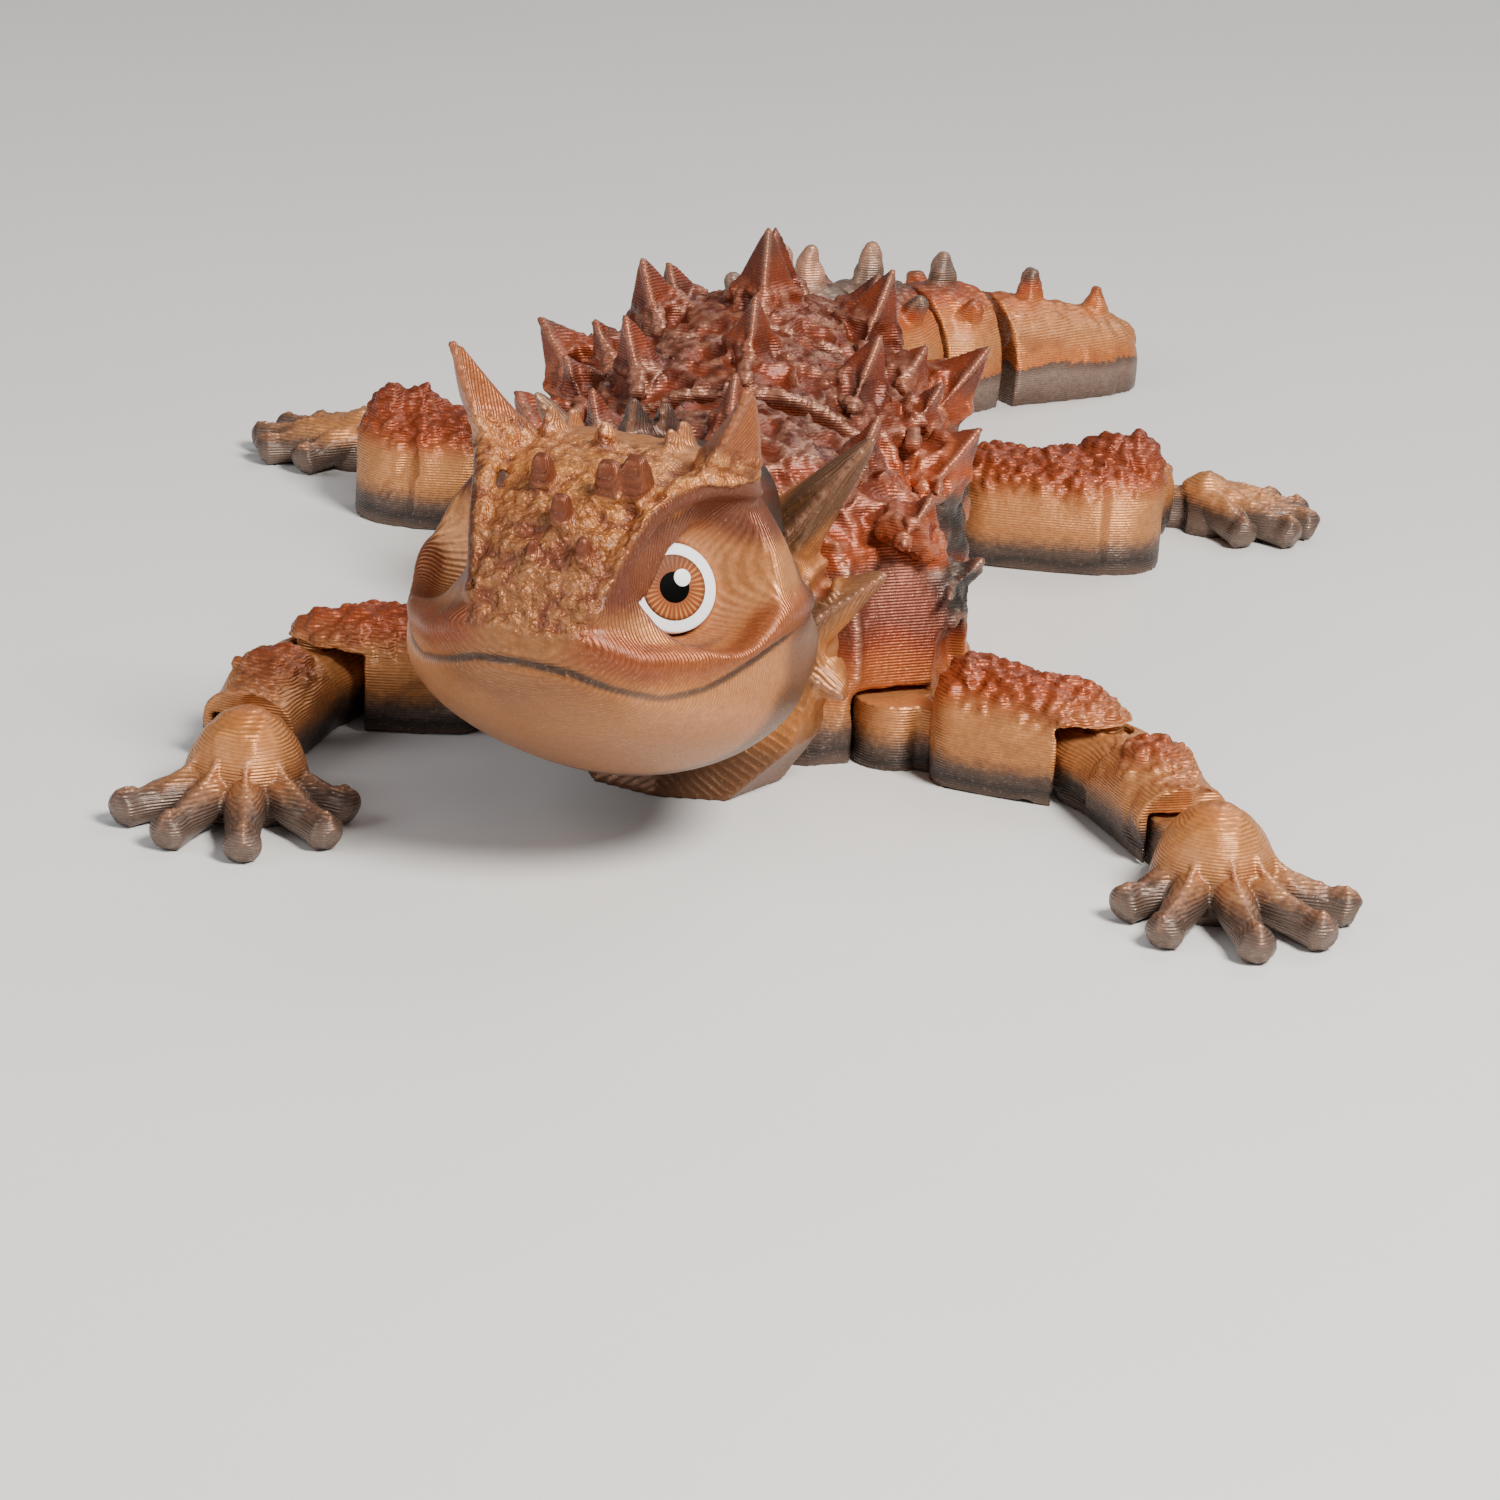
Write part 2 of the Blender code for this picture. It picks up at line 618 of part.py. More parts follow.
def build_neck():
    """Collar between the head and the shoulders, with a tongue to each and three pairs of horns."""
    body = segment_body(NECK_FRONT, NECK_REAR, neck_sizes, 14.0, 8.0, even_shares(3),
                        lean_front=HEAD_LEAN, lean_rear=HEAD_LEAN)
    horns = []
    half_width, height, floor_half, waist = neck_sizes(0.5)
    for side in SIDES.values():
        for degrees_up, tip, radius in NECK_HORNS:
            root, normal = dome_point(half_width, height, waist, degrees_up, 0.0)
            root.y = (NECK_FRONT + NECK_REAR) / 2 + root.z * HEAD_LEAN
            root.x *= side
            reach = Vector((tip[0] * side, tip[1], tip[2])) - root
            horns.append(spine(root, reach, reach.length, radius, sides=5, sunk=0.2))
    pivot_back = math.dist(PIVOTS["head"], PIVOTS["neck"])
    radius, low, high = HEAD_TONGUE
    front = [drum(radius, low, high, (0.0, -pivot_back)),
             box((-radius * BAR_SHARE, -pivot_back, low), (radius * BAR_SHARE, NECK_FRONT / 2, high))]
    radius, low, high = NECK_TONGUE
    rear = [drum(radius, low, high),
            box((-radius * BAR_SHARE, NECK_FRONT / 2, low), (radius * BAR_SHARE, 0.0, high))]
    piece("neck", [body] + front + rear + horns, [], silk("gold_tan", (0.52, 0.28, 0.12)),
          place(PIVOTS["neck"], NECK_TURN), "shoulders")


def forehead_height(v):
    return between(FOREHEAD, v)


def head_widths(v):
    """Cheek half width, brow half width, top and bottom of the head's section, v behind the snout."""
    run = min(v / CHEEK_LENGTH, 1.0)
    cheek = HEAD_HALF_WIDTH * math.sqrt(max(0.0, 1.0 - (1.0 - run) ** 2))
    cheek = mix(cheek, RIM_HALF_WIDTH, smooth(CHEEK_LENGTH, HEAD_LENGTH, v))
    brow = between(BROW_WIDTHS, v)
    bottom = JAW_DEPTH * (1.0 - (1.0 - v / HEAD_LENGTH) ** 2.6) ** 0.8
    bottom *= mix(1.0, 0.82, smooth(13.0, HEAD_LENGTH, v))
    return cheek, brow, forehead_height(v), bottom


def superellipse(half_x, half_z, angle, power):
    """Polar radius of a superellipse at an angle."""
    across = abs(math.cos(angle)) / half_x
    above = abs(math.sin(angle)) / half_z
    return (across ** power + above ** power) ** (-1.0 / power)


def head_radius(v, angle):
    """Distance from the head's axis to its surface: cheeks and jaw blended with the brow block."""
    cheek, brow, top, bottom = head_widths(v)
    if math.sin(angle) < 0.0:
        return superellipse(cheek, bottom, angle, mix(2.1, 1.35, smooth(9.0, 25.0, v)))
    low = superellipse(cheek, min(between(CHEEK_HEIGHTS, v), top), angle, mix(2.0, 2.8, smooth(4.0, 12.0, v)))
    high = superellipse(brow, top, angle, 3.6)
    power = 9.0
    return (low ** power + high ** power) ** (1.0 / power)


# Lines on the left of the head, mirrored to the right: brow edge, upper lip and mouth
BROW_EDGE = ((9.5, -12.2, 12.2), (8.7, -14.4, 12.5), (7.4, -16.8, 12.35), (6.5, -18.8, 11.6),
             (5.8, -20.7, 10.5), (5.3, -22.0, 8.7), (4.8, -22.8, 6.7), (4.3, -23.3, 4.9),
             (3.8, -23.5, 3.6))
BROW_RADII = (0.6, 0.9, 1.05, 1.0, 0.85, 0.75, 0.7, 0.6, 0.5)
LIP = ((0.0, -24.9, 1.4), (4.0, -24.1, 2.0), (6.9, -22.5, 1.3), (9.3, -19.3, 1.6), (11.0, -16.3, 2.9),
       (12.1, -11.9, 4.8), (12.1, -8.6, 5.6))
MOUTH = ((0.0, -24.9, 0.3), (3.2, -24.4, 0.1), (5.7, -23.1, -0.6), (8.1, -21.1, -0.85), (10.1, -18.9, 0.0),
         (11.45, -16.2, 1.5), (12.3, -12.9, 3.2), (12.55, -10.9, 4.1))
JAW_CORNER = (11.6, -4.0, 3.0)
# Eye socket in the frame of the eye: height, half width, half height, shift outward and shift upward
SOCKET = ((-0.02, 3.2, 3.2, 0.0, 0.0), (1.5, 4.6, 4.3, 0.9, 0.5), (3.5, 6.6, 5.6, 2.1, 1.2),
          (7.0, 9.6, 7.2, 4.1, 2.0))
# Upper lid in the same frame: points of its edge, the way it runs back from each in degrees, its heights
LID_EDGE = ((1.3, 4.3), (0.0, 3.14), (-0.8, 2.22), (-1.37, 0.81), (-1.84, -0.48), (-2.65, -1.49),
            (-3.9, -2.9))
LID_WAYS = (84.0, 99.0, 127.0, 165.0, 183.0, 201.0, 217.0)
LID_LOW = 1.0
LID_THICK = 0.4


def distance_to(path, point):
    """Distance from a point to the line through the path's points."""
    nearest = (point - Vector(path[-1])).length
    for start, end in zip(path, path[1:]):
        run = Vector(end) - Vector(start)
        share = min(1.0, max(0.0, (point - Vector(start)).dot(run) / run.length_squared))
        nearest = min(nearest, (point - Vector(start) - run * share).length)
    return nearest


def hump(gap, width):
    """1 on a line, falling smoothly to 0 at a width from it."""
    return 1.0 - smooth(0.0, width, gap)


def face_relief(point):
    """Height of the lip roll and the jaw corner above the plain head."""
    spot = Vector((abs(point.x), point.y, point.z))
    return 0.5 * hump(distance_to(LIP, spot), 1.7) + 0.7 * hump((spot - Vector(JAW_CORNER)).length, 4.0)


def head_point(v, angle):
    radius = head_radius(v, angle)
    point = Vector((radius * math.cos(angle), v + RIM - HEAD_LENGTH, radius * math.sin(angle)))
    outward = Vector((point.x, min(0.0, point.y + 12.0), point.z)).normalized()
    return point + outward * face_relief(point) * smooth(HEAD_LENGTH, HEAD_LENGTH - 2.0, v)


HEAD_STATIONS = (0.1, 0.35, 0.7, 1.2, 1.9, 2.8, 4.0, 5.5, 7.2, 9.0, 11.0, 13.0, 15.0, 17.0, 19.2,
                 21.5, 24.2, 27.0)
HEAD_SIDES = 36
HORN_BASE = (6.3, -13.2, 11.6)
HORN_TIP = (9.9, -18.3, 18.5)
HORN_RADIUS = 3.6
HORN_FLAT = 0.8
CROWN_HORNS = ((-4.6, 12.0, 2.4), (-6.0, 19.0, 1.7), (-6.4, 23.6, 1.3), (-0.2, 10.2, 2.3), (-3.6, 24.0, 2.7),
               (-2.2, 26.0, 2.7), (3.4, 12.6, 2.1), (1.2, 20.4, 2.0), (5.4, 20.6, 1.8))
BROW_FLAKES = ((-1.6, 3.8, 2.2), (0.6, 2.2, 2.0), (2.8, 4.0, 2.5), (4.4, 4.4, 2.8),
               (2.7, 1.3, 1.6), (-0.6, 1.1, 1.3))
NOSTRIL = (3.9, -24.0, 4.3)
SOCKET_SIDES = 24
MOUTH_RADII = (0.6, 0.6, 0.6, 0.6, 0.6, 0.6, 0.5, 0.3)


def big_horn(side):
    """Blade-like horn on the corner of the brow, its length along the head and its edge to the front."""
    base = Vector((HORN_BASE[0] * side, HORN_BASE[1], HORN_BASE[2]))
    tip = Vector((HORN_TIP[0] * side, HORN_TIP[1], HORN_TIP[2]))
    rings = []
    for share, size in ((-0.12, 1.04), (0.0, 1.0), (0.35, 0.74), (0.65, 0.45), (0.85, 0.26), (1.0, 0.1)):
        middle = base.lerp(tip, share)
        ring = []
        for k in range(8):
            angle = math.tau * k / 8
            across = math.sin(angle) * HORN_FLAT * size * HORN_RADIUS
            ring.append(middle + Vector((across, -math.cos(angle) * size * HORN_RADIUS, 0.0)))
        rings.append(ring)
    return loft(rings)


def eye_matrix(side):
    """Frame of an eye: its +Z looks out of the face."""
    facing = Vector((EYE_FACING[0] * side, EYE_FACING[1], EYE_FACING[2])).normalized()
    centre = Vector((EYE_CENTRE[0] * side, EYE_CENTRE[1], EYE_CENTRE[2]))
    across = UP.cross(facing).normalized()
    turn = Matrix((across, facing.cross(across), facing)).transposed().to_4x4()
    return Matrix.Translation(centre) @ turn


def disc(radius, low, high, sides=20):
    return drum(radius, low, high, sides=sides)


def socket_cutter(side):
    """Cone that opens outward and up from around the eye."""
    rings = []
    for height, half_width, half_height, outward, upward in SOCKET:
        middle = Vector((outward * side, upward, height))
        turns = [math.tau * k / SOCKET_SIDES for k in range(SOCKET_SIDES)]
        rings.append([middle + Vector((math.sin(turn) * half_width, math.cos(turn) * half_height, 0.0))
                      for turn in turns])
    return loft(rings)


def eye_lid(side):
    """Lid that runs from the nose side of the socket out over the edge of the eye."""
    rings = []
    clear = EYE_RADIUS + 4.0 * EYE_GAP
    for (across, up), way in zip(LID_EDGE, LID_WAYS):
        back = (math.cos(math.radians(way)), math.sin(math.radians(way)))
        inward = -(across * back[0] + up * back[1])
        inside = inward ** 2 - across ** 2 - up ** 2 + clear ** 2
        rim = max(0.1, inward + math.sqrt(inside)) if inside > 0.0 else 0.1
        profile = ((0.0, LID_LOW), (0.0, LID_LOW + LID_THICK), (1.6, 2.2), (3.4, 3.9), (3.4, -0.2),
                   (rim, -0.2), (rim, LID_LOW - 0.02))
        rings.append([Vector(((across + back[0] * run) * side, up + back[1] * run, height))
                      for run, height in profile])
    return loft(rings)


def in_frame(obj, matrix):
    obj.data.transform(matrix)
    return obj


def build_head():
    rings = [[head_point(v, 2 * math.pi * (k + 0.5) / HEAD_SIDES) for k in range(HEAD_SIDES)]
             for v in HEAD_STATIONS]
    right_mouth = [(-x, y, z) for x, y, z in MOUTH[:0:-1]]
    mouth = swept(right_mouth + list(MOUTH), MOUTH_RADII[:0:-1] + MOUTH_RADII, sides=6)
    parts = [merge_near(combine(loft(rings), [mouth], "DIFFERENCE"), 0.05)]
    pins = []
    for side in SIDES.values():
        pins.append(big_horn(side))
        pins.append(swept([(x * side, y, z) for x, y, z in BROW_EDGE], BROW_RADII))
        pins.append(in_frame(eye_lid(side), eye_matrix(side)))
    for x, v, length in CROWN_HORNS + BROW_FLAKES:
        z = forehead_height(v)
        root = (x, v + RIM - HEAD_LENGTH, z - 0.2)
        parts.append(spine(root, (0.0, -0.5, 0.87), length, length * 0.5, sides=4, tip=0.34))
    cuts = []
    for side in SIDES.values():
        nostril = Vector((NOSTRIL[0] * side, NOSTRIL[1], NOSTRIL[2]))
        parts.append(spine(nostril, (0.45 * side, -0.8, 0.4), 0.7, 0.95, sides=6, tip=0.6, sunk=1.0))
        cuts.append(in_frame(disc(EYE_RADIUS + EYE_GAP, -1.6, 0.5), eye_matrix(side)))
        cuts.append(in_frame(socket_cutter(side), eye_matrix(side)))
    radius, low, high = HEAD_TONGUE
    tilt = Matrix.Rotation(math.radians(HEAD_PITCH), 4, "X")
    for cutter in pocket(radius, high - HEAD_AXIS_HEIGHT, (0.0, 0.0), mouth=(-24.0, 12.0, 6.0),
                         low=low - POCKET_GAP - HEAD_AXIS_HEIGHT):
        cuts.append(in_frame(cutter, tilt))
    world = place(PIVOTS["head"], HEAD_TURN, HEAD_AXIS_HEIGHT) @ Matrix.Rotation(
        -math.radians(HEAD_PITCH), 4, "X")
    piece("head", parts, cuts, silk("gold", (0.55, 0.27, 0.10)), world, "neck", pins)
    for side_name, side in SIDES.items():
        build_eye(side_name, world @ Matrix.Diagonal((MM, MM, MM, 1.0)) @ eye_matrix(side)
                  @ Matrix.Diagonal((1 / MM, 1 / MM, 1 / MM, 1.0)))


def build_eye(side_name, world):
    """White, iris, pupil and glint as inlays, each sunk in the one around it."""
    white = disc(EYE_RADIUS, -1.3, 0.55, 24)
    white_cut = disc(IRIS_RADIUS + EYE_GAP, -0.4, 2.0)
    piece("eye_white_" + side_name, [white], [white_cut], material("eye_white", (0.86, 0.86, 0.88), 0.25),
          world, "head")
    iris = disc(IRIS_RADIUS, -0.3, 0.62)
    iris_cut = disc(PUPIL_RADIUS + EYE_GAP, 0.1, 2.0, 16)
    iris_look = material("eye_iris", (0.32, 0.12, 0.03), 0.3)
    piece("eye_iris_" + side_name, [iris], [iris_cut], iris_look, world, "head")
    pupil = disc(PUPIL_RADIUS, 0.2, 0.7, 16)
    pupil_look = material("eye_pupil", (0.01, 0.01, 0.01), 0.2)
    piece("eye_pupil_" + side_name, [pupil], [], pupil_look, world, "head")
    glint = in_frame(disc(GLINT_RADIUS, 0.8, 1.1, 12), Matrix.Translation((0.45, 0.65, 0.0)))
    piece("eye_glint_" + side_name, [glint], [], material("eye_glint", (0.9, 0.9, 0.9), 0.2), world, "head")


# Limbs

def limb_sizes(near, far, floor_share=0.84, waist_share=0.45, swell=0.08):
    """Half width and height run from near to far with a slight swell between."""
    def sizes(share):
        bulge = 1.0 + swell * math.sin(math.pi * share)
        half_width = mix(near[0], far[0], share) * bulge
        height = mix(near[1], far[1], share)
        return half_width, height, half_width * floor_share, height * waist_share
    return sizes


def rounded_start(sizes, front, rear, radius):
    """Round the near end of a limb in plan, about a centre one radius behind its face."""
    def narrowed(share):
        half_width, height, floor_half, waist = sizes(share)
        before = front + radius - mix(front, rear, share)
        if before > 0.0:
            limit = math.sqrt(max(0.0, 1.0 - (before / radius) ** 2))
            shrink = mix(0.45, 1.0, limit)
            return half_width * shrink, height * mix(0.72, 1.0, limit), floor_half * shrink, waist
        return half_width, height, floor_half, waist
    return narrowed


ELBOW_RADIUS = 4.0
ELBOW_HEIGHT = 5.2
ELBOW_PIN = (1.25, 1.75)
ROOF_BACK = 1.9


def elbow_sizes(share):
    """Forearm: a round bulb on the elbow pivot, then a waist that widens to the wrist."""
    y = mix(-ELBOW_RADIUS, FOREARM_LENGTH + 1.4, share)
    if y < 0.5:
        half_width = math.sqrt(max(0.16, ELBOW_RADIUS ** 2 - min(y, 0.0) ** 2))
        height = mix(3.8, ELBOW_HEIGHT, half_width / ELBOW_RADIUS)
    else:
        half_width = mix(ELBOW_RADIUS, 3.3, smooth(0.5, 3.6, y))
        height = mix(ELBOW_HEIGHT, 6.9, smooth(4.6, 6.4, y)) - 1.3 * smooth(8.0, FOREARM_LENGTH, y)
    return half_width, height, half_width * 0.8, height * 0.5


def build_arm(side_name):
    side = SIDES[side_name]
    turns = TURNS[side_name]
    look = silk("orange_tan", (0.55, 0.24, 0.09))
    shoulder = girdle_spot(SHOULDER_CENTRE, SHOULDER_TURN, SHOULDER_REACH[side_name], SHOULDER_BACK, side)
    elbow = step(shoulder, turns["upper_arm"], UPPER_ARM_LENGTH)
    wrist = step(elbow, turns["forearm"], FOREARM_LENGTH)

    front, rear = 3.5, UPPER_ARM_LENGTH + ROOF_BACK
    sizes = rounded_end(rounded_start(limb_sizes((4.4, 8.5), (3.9, 7.2)), front, rear, 2.2), front, rear, 3.9)
    body = segment_body(front, rear, sizes, 0.0, 0.0, [0.0, 0.06, 0.16, 0.45, 0.71, 0.84, 0.93, 0.985], 8)
    bend = (turns["forearm"] - turns["upper_arm"] + 180.0) % 360.0 - 180.0
    scoop = pocket(ELBOW_RADIUS, ELBOW_HEIGHT, (0.0, UPPER_ARM_LENGTH), mouth=(bend - 12.0, bend + 12.0, 8.0),
                   bar_share=0.9)
    pin = drum(ELBOW_PIN[0], 1.4, ELBOW_HEIGHT + 1.2, (0.0, UPPER_ARM_LENGTH), 10)
    piece("upper_arm_" + side_name, [body] + tongue(*ARM_TONGUE, front + 2.0), scoop, look,
          place(shoulder, turns["upper_arm"]), "shoulders", [pin])

    body = segment_body(-ELBOW_RADIUS, FOREARM_LENGTH + 1.4, elbow_sizes, 0.0, 18.0,
                        [0.0, 0.05, 0.13, 0.23, 0.34, 0.45, 0.58, 0.8, 1.0], 8)
    cuts = pocket(*HAND_TONGUE, (0.0, FOREARM_LENGTH))
    cuts.append(drum(ELBOW_PIN[1], 0.8, ELBOW_HEIGHT + 2.0, sides=10))
    world = place(elbow, turns["forearm"])
    piece("forearm_" + side_name, [body], cuts, look, world, "upper_arm_" + side_name)

    build_paw("hand_" + side_name, HAND_TOES, side, PALM_REACH, 4.3, 6.8, 2.6, HAND_TONGUE,
              place(wrist, turns["hand"]), "forearm_" + side_name)


def build_paw(name, toes, side, reach, palm_radius, palm_height, front, tongue_size, world, parent):
    """Domed palm with five spread toes, flat underneath."""
    def sizes(share):
        y = mix(front, reach + palm_radius, share)
        round_share = 1.0
        if y > reach:
            round_share = math.sqrt(max(0.02, 1.0 - ((y - reach) / (palm_radius + 0.01)) ** 2))
        near = smooth(front - 1.5, reach, y)
        half_width = palm_radius * round_share * mix(0.6, 1.0, near)
        height = mix(palm_height * 0.62, palm_height, near) * mix(0.35, 1.0, round_share)
        return half_width, height, half_width, height * 0.12
    shares = [0.0, 0.2, 0.45, 0.65, 0.85, 0.98]
    parts = [segment_body(front, reach + palm_radius, sizes, 14.0, 0.0, shares, 8)]
    for angle, length in toes:
        along = plan_dir(angle * side)
        middle = Vector((0.0, reach, 0.0))
        points = []
        radii = []
        for share, height, radius in ((0.15, 2.2, 1.6), (0.5, 1.7, 1.35), (0.78, 1.15, 1.15),
                                      (0.93, 1.1, 1.3), (1.0, 0.9, 0.8)):
            points.append(middle + along * length * share + UP * height)
            radii.append(radius * TOE_WIDTH / 2.5)
        parts.append(swept(points, radii, sides=6))
    below = box((-40.0, -40.0, -5.0), (40.0, 40.0, 0.0))
    piece(name, parts + tongue(*tongue_size, front + 1.5), [below], silk("taupe", (0.20, 0.13, 0.10)), world,
          parent)


KNEE_BACK = 1.4
KNEE_BUMPS = (-1.7, 0.5)


def build_leg(side_name):
    side = SIDES[side_name]
    turns = TURNS[side_name]
    look = silk("orange_tan", (0.55, 0.24, 0.09))
    hip = girdle_spot(PIVOTS["hip"], chain_turn("hip"), HIP_REACH, HIP_BACK, side)
    knee = step(hip, turns["thigh"], THIGH_LENGTH)
    ankle = step(knee, turns["shin"], SHIN_LENGTH)

    front, rear = 3.9, THIGH_LENGTH + 3.2
    sizes = rounded_end(rounded_start(limb_sizes((5.2, 8.0), (5.0, 8.6)), front, rear, 2.6),
                        front, rear, 4.4)
    body = segment_body(front, rear, sizes, 0.0, 0.0, [0.0, 0.08, 0.2, 0.5, 0.75, 0.86, 0.94, 0.985], 8)
    shin_turn = (turns["shin"] - turns["thigh"] + 180.0) % 360.0 - 180.0
    cuts = pocket(*SHIN_TONGUE, (0.0, THIGH_LENGTH), mouth=(shin_turn - 12.0, shin_turn + 12.0, 7.5))
    cap = [spine((-KNEE_BACK * side, THIGH_LENGTH + along, 7.4), (-0.25 * side, 0.1, 1.0), 3.0, 2.0, sides=6,
                 tip=0.9) for along in KNEE_BUMPS]
    piece("thigh_" + side_name, [body] + cap + tongue(*THIGH_TONGUE, front + 2.0), cuts, look,
          place(hip, turns["thigh"]), "hip")

    front, rear = 6.3, SHIN_LENGTH + 2.0
    sizes = rounded_start(limb_sizes((3.4, 7.6), (2.8, 5.0)), front, rear, 2.0)
    body = segment_body(front, rear, sizes, 0.0, 0.0, [0.0, 0.1, 0.3, 0.65, 1.0], 8)
    foot_turn = (turns["foot"] - turns["shin"] + 180.0) % 360.0 - 180.0
    cuts = pocket(*FOOT_TONGUE, (0.0, SHIN_LENGTH), mouth=(foot_turn - 12.0, foot_turn + 12.0, 6.0))
    piece("shin_" + side_name, [body] + tongue(*SHIN_TONGUE, front + 1.5), cuts, look,
          place(knee, turns["shin"]), "thigh_" + side_name)

    build_paw("foot_" + side_name, FOOT_TOES, -side, SOLE_REACH, 3.0, 4.4, 3.8, FOOT_TONGUE,
              place(ankle, turns["foot"]), "shin_" + side_name)


build_shoulder()
build_chain()
build_tail_tip()
build_neck()
build_head()
for side_name in SIDES:
    build_arm(side_name)
    build_leg(side_name)
bpy.data.orphans_purge(do_recursive=True)
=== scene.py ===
"""Looks of the articulated horned lizard toy: silk plastic, printed layers, spines, warts and eyes."""

import json
import math
import random

import bmesh
import bpy
import numpy as np
from mathutils import Matrix, Vector, noise

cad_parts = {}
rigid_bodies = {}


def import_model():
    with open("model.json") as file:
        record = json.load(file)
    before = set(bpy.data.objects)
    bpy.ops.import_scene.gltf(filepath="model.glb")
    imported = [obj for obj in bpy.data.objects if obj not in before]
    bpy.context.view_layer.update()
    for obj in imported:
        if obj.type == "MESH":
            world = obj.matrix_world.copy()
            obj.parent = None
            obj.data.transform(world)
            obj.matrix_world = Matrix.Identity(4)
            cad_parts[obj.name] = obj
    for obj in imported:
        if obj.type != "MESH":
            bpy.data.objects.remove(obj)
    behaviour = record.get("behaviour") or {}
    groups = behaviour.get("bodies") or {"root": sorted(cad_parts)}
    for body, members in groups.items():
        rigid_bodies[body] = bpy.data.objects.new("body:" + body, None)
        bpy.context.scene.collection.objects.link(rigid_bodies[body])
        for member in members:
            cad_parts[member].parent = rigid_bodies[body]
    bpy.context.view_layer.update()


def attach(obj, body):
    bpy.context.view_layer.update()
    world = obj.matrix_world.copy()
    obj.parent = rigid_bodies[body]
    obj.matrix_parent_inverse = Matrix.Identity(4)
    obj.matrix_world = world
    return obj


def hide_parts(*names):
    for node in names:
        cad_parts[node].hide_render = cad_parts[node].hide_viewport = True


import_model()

MM = 0.001
UP = Vector((0.0, 0.0, 1.0))
FRONT = Vector((0.0, -1.0, 0.0))
# Millimetres: height of a printed layer, and spacing of the beads along a ridge
LAYER = 0.2
BEAD = 0.55
THORN_STEPS = 8
THORN_CUT = 0.6
EYE_SIDES = 96
HEAD_SIDES = 176
HEAD_STATIONS = 84
# Voxel edge, in millimetres, that each kind of piece is evened out with
VOXELS = {"shoulders": 0.26, "trunk": 0.27, "tail": 0.22, "tail_tip": 0.17, "neck": 0.24, "head": 0.207,
          "upper_arm": 0.2, "forearm": 0.19, "thigh": 0.22, "shin": 0.18, "paw": 0.17}

# Joints: a drum on a bar turns in a pocket that is roofed above and open below
POCKET_GAP = 0.4
DRUM_SIDES = 48
BAR_SHARE = 0.55

# Body chain in plan, millimetres: pivots from the shoulders to the tail tip
SHOULDER_CENTRE = (-3.2, 3.0)
SHOULDER_TURN = 7.3
PIVOTS = {
    "head": (-6.2, -10.3),
    "neck": (-3.24, 1.2),
    "chest": (-2.2, 12.5),
    "belly": (-1.4, 27.0),
    "hip": (-0.9, 41.5),
    "tail_1": (-0.2, 60.2),
    "tail_2": (0.2, 71.0),
    "tail_3": (3.4, 80.6),
    "tail_4": (9.4, 88.3),
    "tail_5": (16.0, 92.4),
}
CHAIN = ("chest", "belly", "hip", "tail_1", "tail_2", "tail_3", "tail_4", "tail_5")
TRUNK = CHAIN[:3]
TAIL_5_TURN = 64.5
TAIL_5_LENGTH = 16.4
TAIL_5_END_RADIUS = 3.6
TAIL_6_TURN = -14.0
TAIL_6_LENGTH = 9.2
TAIL_7_TURN = -64.0
TAIL_7_LENGTH = 10.5
NECK_TURN = 14.4
HEAD_TURN = 20.0
HEAD_PITCH = 14.0
HEAD_AXIS_HEIGHT = 10.5

# Limbs: pivot places on the girdles, turns in degrees clockwise from the tail direction, lengths
SHOULDER_REACH = {"left": 13.0, "right": 11.8}
SHOULDER_BACK = -1.0
HIP_REACH = 11.4
HIP_BACK = 8.6
UPPER_ARM_LENGTH = 15.2
FOREARM_LENGTH = 12.0
PALM_REACH = 7.4
THIGH_LENGTH = 16.6
SHIN_LENGTH = 10.5
SOLE_REACH = 5.5
TURNS = {
    "left": {"upper_arm": 109.0, "forearm": 158.0, "hand": 167.0,
             "thigh": 95.0, "shin": 8.0, "foot": 92.0},
    "right": {"upper_arm": 266.0, "forearm": 195.4, "hand": 175.0,
              "thigh": 265.0, "shin": 10.0, "foot": 288.0},
}
SIDES = {"left": 1.0, "right": -1.0}
# Middle and half range, in degrees, of the mouths that the limbs swing in
ARM_REST = 100.0
ARM_SWING = 22.0
THIGH_REST = 92.0
THIGH_SWING = 20.0
BEND_SWING = 12.0

# Toes: angle from the hand's direction (toward the body positive) and reach from the palm's middle
HAND_TOES = ((66.0, 7.8), (35.0, 9.9), (0.0, 11.0), (-30.0, 10.4), (-61.0, 9.6))
FOOT_TOES = ((34.0, 7.4), (14.0, 8.6), (-8.0, 9.2), (-30.0, 8.6), (-58.0, 6.6))

# Head, in its own frame: x to the toy's left, y back from the neck pivot, z up from the mouth
HEAD_LENGTH = 27.0
RIM = 2.1
HEAD_HALF_WIDTH = 12.8
CHEEK_LENGTH = 16.0
RIM_HALF_WIDTH = 9.6
JAW_DEPTH = 8.5
CHEEK_HEIGHTS = ((4.0, 5.5), (8.0, 9.0), (11.0, 12.3), (14.0, 13.0), (17.0, 11.0), (21.0, 7.6),
                 (27.0, 5.0))
FOREHEAD = ((0.0, 1.5), (0.6, 5.2), (1.3, 7.4), (2.3, 9.4), (3.9, 11.3), (6.0, 12.6), (9.0, 13.3),
            (14.0, 13.7), (27.0, 13.9))
BROW_WIDTHS = ((0.0, 1.2), (0.6, 4.0), (1.3, 4.9), (2.3, 5.5), (3.9, 6.3), (6.0, 7.2), (8.5, 8.2),
               (11.0, 8.9), (14.0, 9.2), (20.0, 8.2), (27.0, 6.9))
EYE_CENTRE = (5.6, -15.4, 5.5)
EYE_FACING = (0.62, -0.74, 0.26)
EYE_RADIUS = 2.85
